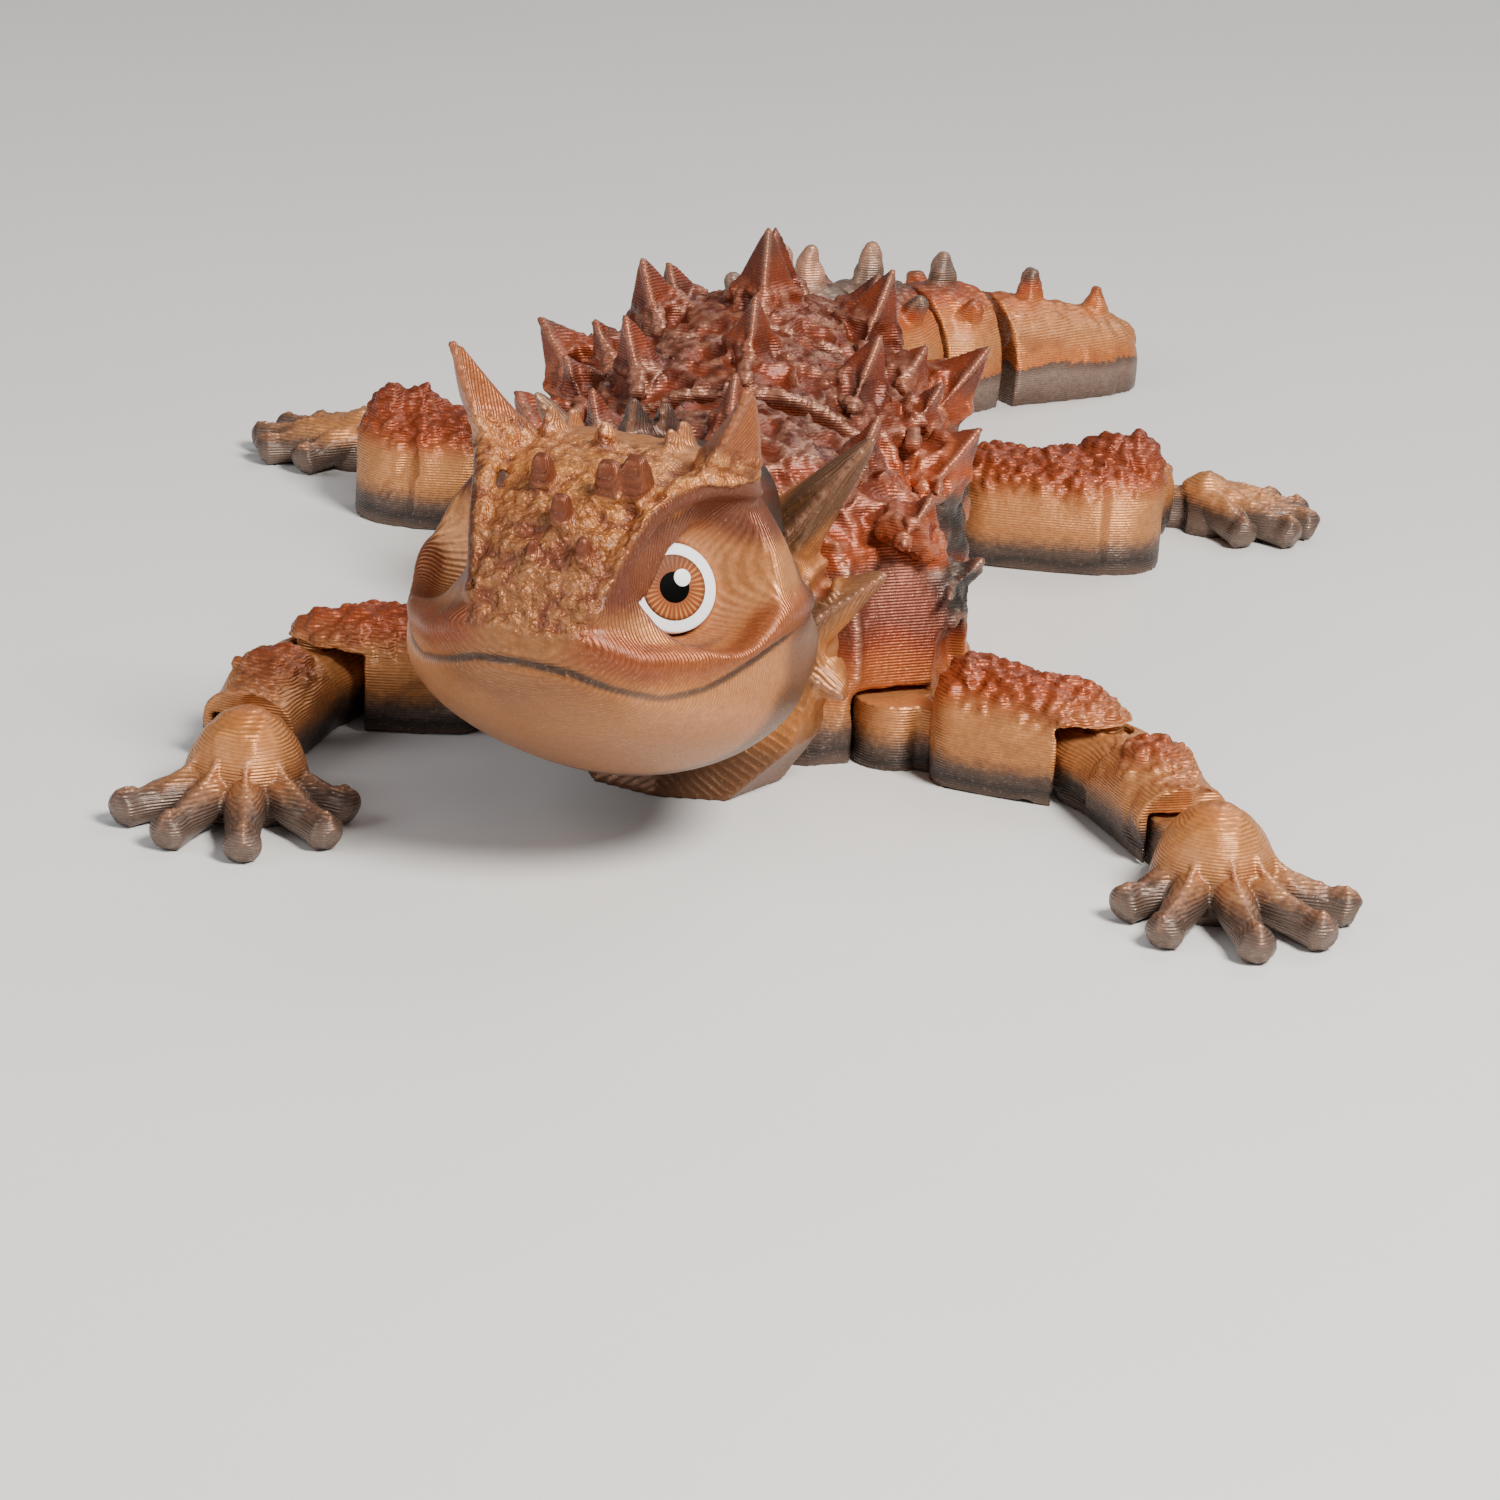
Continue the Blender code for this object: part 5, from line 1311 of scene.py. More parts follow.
def rim_lines(sizes, front, sweep, lean=0.0):
    """Beaded line along the front edge of a segment, from foot to foot."""
    half_width, height, floor_half, waist = sizes(0.02)
    points = []
    for i in range(41):
        angle = math.pi * i / 40
        x = half_width * math.cos(angle)
        z = waist + (height - waist) * math.sin(angle)
        points.append((x, front + 0.3 + abs(x) * math.tan(math.radians(sweep)) + z * lean, z))
    sides = [[(side * floor_half, points[0][1] - 0.1, 0.8), points[0 if side > 0 else -1]]
             for side in (1.0, -1.0)]
    return [(points, 0.34, 0.26, 0.0)] + [(side, 0.3, 0.2, 0.0) for side in sides]


def build_chain():
    for index, name in enumerate(CHAIN):
        size = BODY[name]
        length = chain_length(name)
        radius, height, depth = size["tongue"]
        front = depth + FACE_GAP
        trunk = name in TRUNK
        if name == "tail_5":
            rear = length
            sizes = rounded_end(size["sizes"], front, rear, TAIL_5_END_RADIUS)
            shares = [1.0 - (1.0 - share) ** 1.5 for share in even_shares(25)[:-1]] + [0.996]
            cuts = pocket(*TIP_TONGUE, (0.0, length - TAIL_5_END_RADIUS),
                          mouth=(TAIL_6_TURN - TAIL_5_TURN - 6.0, 6.0, 6.0))
        else:
            next_radius, next_height, next_depth = BODY[CHAIN[index + 1]]["tongue"]
            rear = length + next_depth
            sizes = size["sizes"]
            shares = even_shares(21)
            cuts = pocket(next_radius, next_height, (0.0, length))
        body = segment_body(front, rear, sizes, *size["sweep"], shares)
        spines, lines = spine_rows(SPINES[name], size["sizes"], front, rear, blunt=not trunk)
        if trunk:
            lines += rim_lines(size["sizes"], front, size["sweep"][0])
        if name == "hip":
            for side in SIDES.values():
                cuts += pocket(*THIGH_TONGUE, (HIP_REACH * side, HIP_BACK),
                               mouth=(side * THIGH_REST - THIGH_SWING, side * THIGH_REST + THIGH_SWING, 6.0))
        if trunk:
            rings = [(side * random.uniform(0.88, 0.96) * sizes(0.5)[0],
                      mix(front, rear, random.uniform(0.3, 0.7)), random.uniform(4.5, 8.5))
                     for side in (1, -1, 1, -1)]
            relief = trunk_relief(sizes, front, rear, rings, index * 7.3)
        else:
            relief = tail_relief(sizes, front, rear, index * 7.3)
        warts = (1.9, 0.7, 4.0, 12.5, front + 1.4, rear - 2.2) if trunk else None
        cast(name, [body] + tongue(radius, height, front + 2.0) + spines, cuts,
             BODY_SILK if trunk else TAIL_SILK, place(PIVOTS[name], chain_turn(name)),
             VOXELS["trunk"] if trunk else VOXELS["tail"], relief, lines, warts=warts)


def build_tail_tip():
    tail_5_end = step(PIVOTS["tail_5"], TAIL_5_TURN, TAIL_5_LENGTH - TAIL_5_END_RADIUS)
    front = TAIL_5_END_RADIUS + 2.6 * FACE_GAP
    sizes = even_sizes((2.9, 4.0), (2.3, 3.4))
    body = segment_body(front, TAIL_6_LENGTH + 1.4, sizes, 0.0, 22.0, even_shares(13))
    knobs, lines = spine_rows(((90.0, 0.5, 1.2, 0.7),), sizes, front, TAIL_6_LENGTH, blunt=True)
    cuts = pocket(*LAST_TONGUE, (0.0, TAIL_6_LENGTH), mouth=(-64.0, 0.0, 4.0))
    cast("tail_6", [body] + tongue(*TIP_TONGUE, front + 1.0) + knobs, cuts, TAIL_SILK,
         place(tail_5_end, TAIL_6_TURN), VOXELS["tail_tip"],
         tail_relief(sizes, front, TAIL_6_LENGTH, 3.0), lines)
    tip_spot = step(tail_5_end, TAIL_6_TURN, TAIL_6_LENGTH)
    tip_front = 1.9
    tip_sizes = even_sizes((2.1, 3.2), (0.5, 1.2))
    tip = segment_body(tip_front, TAIL_7_LENGTH, tip_sizes, 22.0, 0.0, even_shares(15))
    cast("tail_7", [tip] + tongue(*LAST_TONGUE, 2.6), [], TAIL_SILK, place(tip_spot, TAIL_7_TURN),
         VOXELS["tail_tip"], tail_relief(tip_sizes, tip_front, TAIL_7_LENGTH, 6.0))


def spine_rows(rows, sizes, front, rear, blunt=False):
    """Spines in mirrored pairs, and the beaded lines down their front edges."""
    made = []
    lines = []
    for degrees_up, share, length, radius in rows:
        half_width, height, _, waist = sizes(share)
        for side in ((1.0,) if degrees_up == 90.0 else (1.0, -1.0)):
            point, normal = dome_point(half_width, height, waist, degrees_up, mix(front, rear, share))
            point.x *= side
            normal.x *= side
            direction = (normal + Vector((0.0, 0.0, 0.35))).normalized()
            vary = random.uniform(0.92, 1.08)
            if blunt:
                obj, edge = thorn(point, direction, length * vary, radius * 1.15, 10, 0.62, flat=0.92,
                                  hollow=-0.2)
                made.append(obj)
                lines.append((edge, 0.3, 0.05, 0.0))
                continue
            obj, edge = thorn(point, direction, length * vary, radius * 1.2, 4, 0.42,
                              flat=random.uniform(0.74, 0.88), hollow=0.02)
            made.append(obj)
            lines.append((edge, 0.4, 0.06, 0.3))
            foot = Vector((point.x * 1.01, front + 0.4, point.z * 0.99))
            lines.append(([edge[0], (edge[0] + foot) / 2 + normal * 0.2, foot], 0.34, 0.3, 0.26))
    return made, lines


# Neck and head

def build_neck():
    body = segment_body(NECK_FRONT, NECK_REAR, neck_sizes, 14.0, 8.0, even_shares(15),
                        lean_front=HEAD_LEAN, lean_rear=HEAD_LEAN)
    horns = []
    lines = []
    half_width, height, _, waist = neck_sizes(0.5)
    for side in SIDES.values():
        for degrees_up, tip, radius in NECK_HORNS:
            root, _ = dome_point(half_width, height, waist, degrees_up, 0.0)
            root.y = (NECK_FRONT + NECK_REAR) / 2 + root.z * HEAD_LEAN
            root.x *= side
            reach = Vector((tip[0] * side, tip[1], tip[2])) - root
            horn, edge = thorn(root, reach, reach.length, radius * 1.15, 10, 0.48, 0.2, 0.92, 0.02)
            horns.append(horn)
            lines.append((edge, 0.35, 0.05, 0.26))
    pivot_back = math.dist(PIVOTS["head"], PIVOTS["neck"])
    radius, low, high = HEAD_TONGUE
    front = [drum(radius, low, high, (0.0, -pivot_back)),
             box((-radius * BAR_SHARE, -pivot_back, low), (radius * BAR_SHARE, NECK_FRONT / 2, high))]
    radius, low, high = NECK_TONGUE
    rear = [drum(radius, low, high),
            box((-radius * BAR_SHARE, NECK_FRONT / 2, low), (radius * BAR_SHARE, 0.0, high))]
    cast("neck", [body] + front + rear + horns, [], NECK_SILK, place(PIVOTS["neck"], NECK_TURN),
         VOXELS["neck"], neck_relief, lines)


def neck_relief(spots, normals):
    """Faint pebbles, a round pit on each side and dark flats along the front edge."""
    x, y, z = spots.T
    half_width, height, _, waist = neck_sizes(0.5)
    out = np.hypot(x / half_width, np.maximum(z - waist, 0.0) / (height - waist))
    skin = soft(0.85, 0.97, out) * (1.0 - soft(1.06, 1.16, out))
    middle, _ = cells(spots, 1.4, skin * soft(1.0, 3.0, z))
    rise = skin * (0.12 - 0.28 * middle)
    pit = np.hypot(np.abs(x) - 8.9, z - 14.2)
    rise += 0.3 * np.exp(-((pit - 0.9) / 0.3) ** 2) - 0.5 * np.exp(-(pit / 0.6) ** 2)
    lean = y - z * HEAD_LEAN
    edge = 1.0 - soft(NECK_FRONT + 0.6, NECK_FRONT + 1.9, lean - 0.12 * np.abs(x))
    silver = soft(1.12, 1.3, out) * soft(10.5, 12.0, z) * (1.0 - soft(17.0, 18.5, z))
    shade = soft(1.12, 1.4, out) * soft(17.0, 19.0, z) * soft(-0.2, 0.5, normals[:, 0])
    low = soft(1.05, 1.2, out) * (1.0 - soft(8.0, 9.5, z))
    # Painted shade on one side of the upper horns, painted highlight on the pebble crests.
    return rise, {"rust": np.maximum(np.exp(-(pit / 0.8) ** 2), 0.45 * low),
                  "dusk": np.maximum.reduce([0.85 * edge * soft(0.8, 0.95, out), 0.6 * silver, 0.75 * shade,
                                     0.85 * (1.0 - soft(2.5, 6.0, z))]),
                  "pale": np.maximum(0.2 * skin * (1.0 - soft(0.1, 0.4, middle)), 0.3 * silver)}


def big_horn(side):
    """Blade-like horn on the corner of the brow: sharp in front, round behind, beads up its edge."""
    base = Vector((HORN_BASE[0] * side, HORN_BASE[1], HORN_BASE[2]))
    tip = Vector((HORN_TIP[0] * side, HORN_TIP[1], HORN_TIP[2]))
    rings = []
    edge = []
    for i in range(-2, 13):
        share = i / 12 if i > 0 else i * 0.06
        size = HORN_RADIUS * mix(1.0, 0.13, max(share, 0.0) ** 1.1)
        bow = Vector((0.35 * side, 0.0, 0.0)) * math.sin(math.pi * max(share, 0.0))
        middle = base.lerp(tip, share) + bow
        ring = []
        for k in range(24):
            angle = math.tau * k / 24
            along = -math.cos(angle)
            across = math.sin(angle)
            if along <= 0.0:
                across = (1.0 + along) ** 0.8 * math.copysign(1.0, across)
            if k == 0:
                across = 0.0
            ring.append(middle + Vector((across * HORN_FLAT * size, along * size, 0.0)))
        rings.append(ring)
        if i >= 0:
            edge.append(ring[0])
    return loft(rings), (edge, 0.42, 0.05, 0.34)


def flake(root, length):
    """Blocky scale that leans up from the forehead, with a cut top."""
    way = Vector(THORN_WAY).normalized()
    across = Vector((1.0, 0.0, 0.0))
    front = way.cross(across)
    rings = []
    for share, width, depth in ((-0.5, 0.33, 0.5), (0.0, 0.33, 0.4), (0.7, 0.28, 0.28), (1.0, 0.2, 0.16)):
        middle = root + way * length * share
        rings.append([middle + across * sx * width * length + front * sy * depth * length
                      for sx, sy in ((1, 1), (-1, 1), (-1, -1), (1, -1))])
    return loft(rings)


def forehead_root(x, v):
    """Foot of a thorn on the forehead."""
    return Vector((x, v + RIM - HEAD_LENGTH, forehead_height(v) - 0.25))


def brow_at(z):
    """Half width of the brow edge at heights."""
    rows = sorted((p[2], p[0]) for p in BROW_EDGE[1:])
    return np.interp(z, [row[0] for row in rows] + [13.2], [row[1] for row in rows] + [10.0])


def brow_wall(spots):
    """How far each spot is on the wall between the brow edge and the lid of the eye."""
    side, y, z = np.abs(spots[:, 0]), spots[:, 1], spots[:, 2]
    outside = soft(-0.1, 0.4, side - brow_at(z)) * soft(3.4, 5.0, z) * (1.0 - soft(-10.5, -8.0, y))
    return outside * (1.0 - soft(2.4, 4.2, gap_to(BROW_EDGE, spots)))


def head_ease(spots):
    """Even out the whole skull a little, and the wall over the eye a lot."""
    tips = soft(13.4, 14.6, spots[:, 2])
    thin = 1.0 - soft(1.2, 2.2, gap_to([LID_MIDDLE, LID_MIDDLE_END], spots))
    low = 1.0 - soft(7.0, 9.0, spots[:, 2])
    return np.maximum(0.06 + 0.2 * low, brow_wall(spots)) * (1.0 - tips) * (1.0 - 0.8 * thin), 24


def gap_to(path, spots):
    """Distance of spots, mirrored to the left, from a path."""
    mirrored = np.column_stack((np.abs(spots[:, 0]), spots[:, 1:]))
    nearest = np.full(len(spots), 1e9)
    for start, end in zip(path, path[1:]):
        start = np.array(start)
        run = np.array(end) - start
        share = np.clip((mirrored - start) @ run / (run @ run), 0.0, 1.0)
        nearest = np.minimum(nearest, np.linalg.norm(mirrored - start - share[:, None] * run, axis=1))
    return nearest


def head_relief(spots, normals):
    """Hammered forehead between the brows, smooth cheeks and jaw, and painted shade on the strip under the
    brow.
    """
    x, y, z = spots.T
    side = np.abs(x)
    brow_x = brow_at(z)
    shell = soft(1.5, 3.0, np.hypot(x, z))
    hammer = (1.0 - soft(-0.1, 0.35, side - brow_x)) * soft(1.4, 2.8, z) * (1.0 - soft(-15.0, -12.0, y))
    hammer *= 1.0 - soft(14.2, 15.0, z)
    eye = np.array(EYE_CENTRE)
    facing = np.array(EYE_FACING) / np.linalg.norm(EYE_FACING)
    mirrored = np.column_stack((side, y, z))
    offset = mirrored - eye
    depth = offset @ facing
    around = np.linalg.norm(offset - depth[:, None] * facing, axis=1)
    lid = (1.0 - soft(3.9, 4.6, around)) * soft(0.8, 1.3, depth)
    hammer *= soft(3.9, 4.6, around)
    flakes = np.zeros(len(spots))
    for root_x, v, length in BROW_FLAKES:
        away = spots - np.array(forehead_root(root_x, v))
        up = away @ np.array(THORN_WAY)
        aside = np.linalg.norm(away - up[:, None] * np.array(THORN_WAY), axis=1)
        flakes = np.maximum(flakes, (1.0 - soft(0.4 * length, 0.5 * length, aside)) * soft(0.1, 0.6, up))
    hammer *= 1.0 - flakes
    middle, _ = cells(spots, 1.05, hammer, 2.0)
    broad = grain(spots, 2.8, hammer, 1.0)
    fine = grain(spots, 0.45, hammer, 5.0)
    rise = hammer * (0.2 - 0.46 * middle + 0.1 * fine + 0.22 * broad)
    # Painted shade in the pits of the hammered forehead, painted highlight on its crests.
    pit_shade = hammer * soft(0.42, 0.7, middle) * soft(-0.3, 0.4, grain(spots, 1.6, hammer, 3.0) + 0.2)
    crest_highlights = hammer * (1.0 - soft(0.1, 0.3, middle))
    lip = gap_to(LIP, spots)
    roll = (1.0 - soft(0.7, 2.0, lip)) * soft(2.0, 4.5, side)
    rise += 0.25 * (1.0 - soft(0.2, 1.3, lip)) * soft(3.0, 5.5, side)
    # Painted shade on the wall under the brow and on the lid; painted highlight in an arch above the eye.
    under = np.maximum(brow_wall(spots), 0.9 * lid)
    arch_highlight = np.exp(-((around - 3.5) / 0.8) ** 2) * soft(0.3, 2.0, z - eye[2]) * (1.0 - soft(1.5, 3.5, depth))
    horn = soft(13.6, 14.4, z + 0.25 * (y + 16.0)) * soft(5.0, 6.5, side)
    crown = soft(12.4, 13.2, z) * (1.0 - soft(6.6, 7.6, side)) * soft(-15.0, -13.5, y)
    rim = soft(-12.0, -9.6, y - 0.4 * np.maximum(z - 3.0, -4.0)) * (1.0 - soft(10.0, 13.0, z))
    chin = soft(0.5, -6.0, z) * soft(-25.0, -21.0, y)
    shelf = soft(1.5, 2.3, lip) * (1.0 - soft(3.6, 5.2, lip)) * soft(5.5, 7.0, side)
    shelf = shelf * (1.0 - soft(4.5, 6.5, z))
    bulge = np.exp(-(np.linalg.norm(mirrored - np.array(JAW_DARK), axis=1) / 3.4) ** 2)
    ashen = np.zeros(len(spots))
    for root_x, root_y, shade in ASHEN_TIPS:
        aside = np.hypot(x - root_x, (y - root_y + 0.57 * (z - 13.8)) * 0.6)
        ashen = np.maximum(ashen, (1.0 - soft(0.9, 1.4, aside)) * soft(14.4, 15.0, z) * shade)
    # Painted shade along the mouth groove.
    mouth = gap_to(MOUTH, spots)
    rust = np.maximum.reduce([0.7 * pit_shade, 0.72 * roll, 0.85 * under, 0.66 * horn, 0.15 * crown,
                              0.8 * flakes])
    dusk = np.maximum.reduce([0.5 * under, 0.85 * rim, 0.35 * pit_shade, 0.95 * (1.0 - soft(0.16, 0.36, mouth)),
                              0.85 * soft(0.25, 0.8, bulge), ashen, 0.45 * chin, 0.35 * flakes])
    crown_pebbles, _ = cells(spots, 1.3, crown, 7.0)
    rise += 0.2 * crown * (0.4 - crown_pebbles)
    return rise * shell, {"pale": np.maximum(0.42 * crest_highlights + 0.3 * arch_highlight, 0.35 * shelf), "rust": rust,
                          "dusk": dusk, "rough": hammer}


def build_head():
    rings = [[head_point(HEAD_LENGTH * (0.003 + 0.997 * (k / (HEAD_STATIONS - 1)) ** 1.6),
                         2 * math.pi * (i + 0.5) / HEAD_SIDES) for i in range(HEAD_SIDES)]
             for k in range(HEAD_STATIONS)]
    parts = [loft(rings)]
    pins = []
    cuts = []
    lines = []
    for side in SIDES.values():
        horn, edge = big_horn(side)
        pins.append(horn)
        lines.append(edge)
        brow = [Vector((x * side, y, z)) for x, y, z in BROW_EDGE]
        pins.append(flowing_bar(brow, BROW_RADII))
        pins.append(in_frame(eye_lid(side), eye_matrix(side)))
        nostril = Vector((NOSTRIL[0] * side, NOSTRIL[1], NOSTRIL[2]))
        outward = Vector((0.45 * side, -0.8, 0.4))
        parts.append(thorn(nostril, outward, 0.75, 1.1, 12, 0.6, 1.0, 1.0)[0])
        cuts.append(in_frame(drum(0.34, 0.2, 2.0), Matrix.Translation(nostril) @
                             outward.to_track_quat("Z", "Y").to_matrix().to_4x4()))
        cuts.append(flowing_bar([(x * side, y, z) for x, y, z in MOUTH], GROOVE_RADII, 8))
        cuts.append(in_frame(drum(EYE_RADIUS + EYE_GAP, -1.6, 0.5, sides=SOCKET_SIDES), eye_matrix(side)))
        cuts.append(in_frame(socket_cutter(side), eye_matrix(side)))
    for x, v, length in CROWN_HORNS:
        horn, edge = thorn(forehead_root(x, v), THORN_WAY, length, length * 0.55, 10, 0.36, 0.35, 0.9, -0.1)
        parts.append(horn)
        lines.append((edge, 0.34, 0.04, 0.27))
    for x, v, length in BROW_FLAKES:
        parts.append(flake(forehead_root(x, v), length))
    radius, low, high = HEAD_TONGUE
    tilt = Matrix.Rotation(math.radians(HEAD_PITCH), 4, "X")
    for cutter in pocket(radius, high - HEAD_AXIS_HEIGHT, (0.0, 0.0), mouth=(-24.0, 12.0, 6.0),
                         low=low - POCKET_GAP - HEAD_AXIS_HEIGHT):
        cuts.append(in_frame(cutter, tilt))
    cast("head", parts, cuts, HEAD_SILK, HEAD_WORLD, VOXELS["head"], head_relief, lines, pins,
         ease=head_ease)
    for side_name, side in SIDES.items():
        build_eye(side_name, side)


def build_eye(side_name, side):
    """Enamelled eye: each inlay a shallow dome in its own ring."""
    frame_of_eye = HEAD_WORLD @ Matrix.Diagonal((MM, MM, MM, 1.0)) @ eye_matrix(side)
    for name, radius, low, rim, crown, middle, look in (
            ("white", EYE_RADIUS, -1.2, 0.5, 0.10, (0.0, 0.0), EYE_WHITE),
            ("iris", IRIS_RADIUS, 0.1, 0.62, 0.06, (0.0, 0.0), EYE_IRIS),
            ("pupil", PUPIL_RADIUS, 0.3, 0.69, 0.04, (0.0, 0.0), EYE_PUPIL),
            ("glint", GLINT_RADIUS * 0.93, 0.5, 0.76, 0.03, GLINT_SPOT, EYE_GLINT)):
        rows = [(radius * 0.5, low), (radius, low), (radius, rim - 0.06), (radius * 0.985, rim)]
        rows += [(radius * share, rim + crown * (1.0 - share ** 2))
                 for share in (0.94, 0.85, 0.7, 0.5, 0.3, 0.12)]
        turns = [math.tau * k / EYE_SIDES for k in range(EYE_SIDES)]
        rings = [[Vector((middle[0] + r * math.sin(turn), middle[1] + r * math.cos(turn), z))
                  for turn in turns] for r, z in rows]
        obj = loft(rings)
        mesh = obj.data
        spots = np.array([v.co for v in mesh.vertices])
        for mask, values in (("reach", np.hypot(spots[:, 0], spots[:, 1]) / radius),
                             ("turn", np.arctan2(spots[:, 0], spots[:, 1])),
                             # Where the lid's painted shade falls on the eye.
                             ("lid", soft(0.1, 0.9, (spots[:, 1] - spots[:, 0] * side * 0.6) / radius))):
            mesh.attributes.new(mask, "FLOAT", "POINT").data.foreach_set("value", values.astype(np.float32))
        mesh.polygons.foreach_set("use_smooth", [True] * len(mesh.polygons))
        mesh.transform(frame_of_eye)
        dress(obj, "eye_" + name + "_" + side_name, look, "head")


# Limbs

def build_arm(side_name):
    side = SIDES[side_name]
    turns = TURNS[side_name]
    shoulder = girdle_spot(SHOULDER_CENTRE, SHOULDER_TURN, SHOULDER_REACH[side_name], SHOULDER_BACK, side)
    elbow = step(shoulder, turns["upper_arm"], UPPER_ARM_LENGTH)
    wrist = step(elbow, turns["forearm"], FOREARM_LENGTH)

    front, rear = 3.5, UPPER_ARM_LENGTH + ROOF_BACK
    plain = limb_sizes(*LIMB_ENDS["upper_arm"])
    sizes = rounded_end(rounded_start(plain, front, rear, 2.2), front, rear, 3.9)
    body = segment_body(front, rear, sizes, 0.0, 0.0, ROUNDED_SHARES)
    bend = turned_by(turns["upper_arm"], turns["forearm"])
    scoop = pocket(ELBOW_RADIUS, ELBOW_HEIGHT, (0.0, UPPER_ARM_LENGTH),
                   mouth=(bend - BEND_SWING, bend + BEND_SWING, 8.0), bar_share=0.9)
    pin = drum(ELBOW_PIN[0], 1.4, ELBOW_HEIGHT + 1.2, (0.0, UPPER_ARM_LENGTH))
    cast("upper_arm_" + side_name, [body] + tongue(*ARM_TONGUE, front + 2.0), scoop, LIMB_SILK,
         place(shoulder, turns["upper_arm"]), VOXELS["upper_arm"],
         limb_relief(plain, front, rear, 11.0 * side), (), [pin],
         (1.2, 0.48, 5.6, 9.5, front + 0.9, rear - 2.6))

    body = segment_body(-ELBOW_RADIUS, FOREARM_LENGTH + 1.4, elbow_sizes, 0.0, 18.0, even_shares(41))
    cuts = pocket(*HAND_TONGUE, (0.0, FOREARM_LENGTH))
    cuts.append(drum(ELBOW_PIN[1], 0.8, ELBOW_HEIGHT + 2.0))
    plain = limb_sizes(*LIMB_ENDS["forearm"])
    cast("forearm_" + side_name, [body], cuts, LIMB_SILK, place(elbow, turns["forearm"]), VOXELS["forearm"],
         limb_relief(plain, -ELBOW_RADIUS, FOREARM_LENGTH + 1.4, 17.0 * side, 0.72, 0.3),
         warts=(1.2, 0.46, 5.0, 9.0, 1.0, FOREARM_LENGTH))

    build_paw("hand_" + side_name, HAND_TOES, side, PALM_REACH, 4.3, 6.8, 2.6, HAND_TONGUE,
              place(wrist, turns["hand"]))


def build_paw(name, toes, side, reach, palm_radius, palm_height, front, tongue_size, world):
    """Domed palm with five toes, each with a beaded line from the palm's crown to its knob."""
    def sizes(share):
        y = mix(front, reach + palm_radius, share)
        round_share = 1.0
        if y > reach:
            round_share = math.sqrt(max(0.02, 1.0 - ((y - reach) / (palm_radius + 0.01)) ** 2))
        near = smooth(front - 1.5, reach, y)
        half_width = palm_radius * round_share * mix(0.6, 1.0, near)
        height = mix(palm_height * 0.62, palm_height, near) * mix(0.35, 1.0, round_share)
        return half_width, height, half_width, height * 0.12
    shares = [1.0 - (1.0 - share) ** 1.4 for share in even_shares(31)]
    shares[-1] = 0.985
    parts = [segment_body(front, reach + palm_radius, sizes, 14.0, 0.0, shares)]
    lines = []
    for angle, length in toes:
        along = plan_dir(angle * side)
        middle = Vector((0.0, reach, 0.0))
        points = []
        radii = []
        for share, height, radius in TOE_SECTIONS:
            points.append(middle + along * length * share + UP * height)
            radii.append(radius)
        parts.append(flowing_bar(points, radii, 16, 5))
        crown = middle + UP * palm_height * 0.97 + along * 0.6
        back = [crown, middle + along * length * 0.32 + UP * palm_height * 0.66]
        back += [point + UP * radius * 0.95 for point, radius in zip(points[1:], radii[1:])]
        lines.append((flowing(back, 5), 0.36, 0.05, 0.3))
    below = box((-40.0, -40.0, -5.0), (40.0, 40.0, 0.0))
    cast(name, parts + tongue(*tongue_size, front + 1.5), [below], PAW_SILK, world, VOXELS["paw"],
         paw_relief(palm_height), lines)


def paw_relief(palm_height):
    """Fine grain on the top of a paw, which darkens towards the floor."""
    def relief(spots, normals):
        z = spots[:, 2]
        top = soft(0.3, 0.8, normals[:, 2]) * soft(0.6, 1.4, z)
        rise = top * 0.16 * grain(spots, 1.0, top, 2.0)
        dome = soft(palm_height * 0.42, palm_height * 0.62, z)
        # The pale flecks on the upward faces are painted highlight.
        return rise, {"dusk": 0.35 * (1.0 - dome),
                      "pale": 0.16 * top * soft(0.1, 0.5, grain(spots, 0.6, top, 6.0))}
    return relief


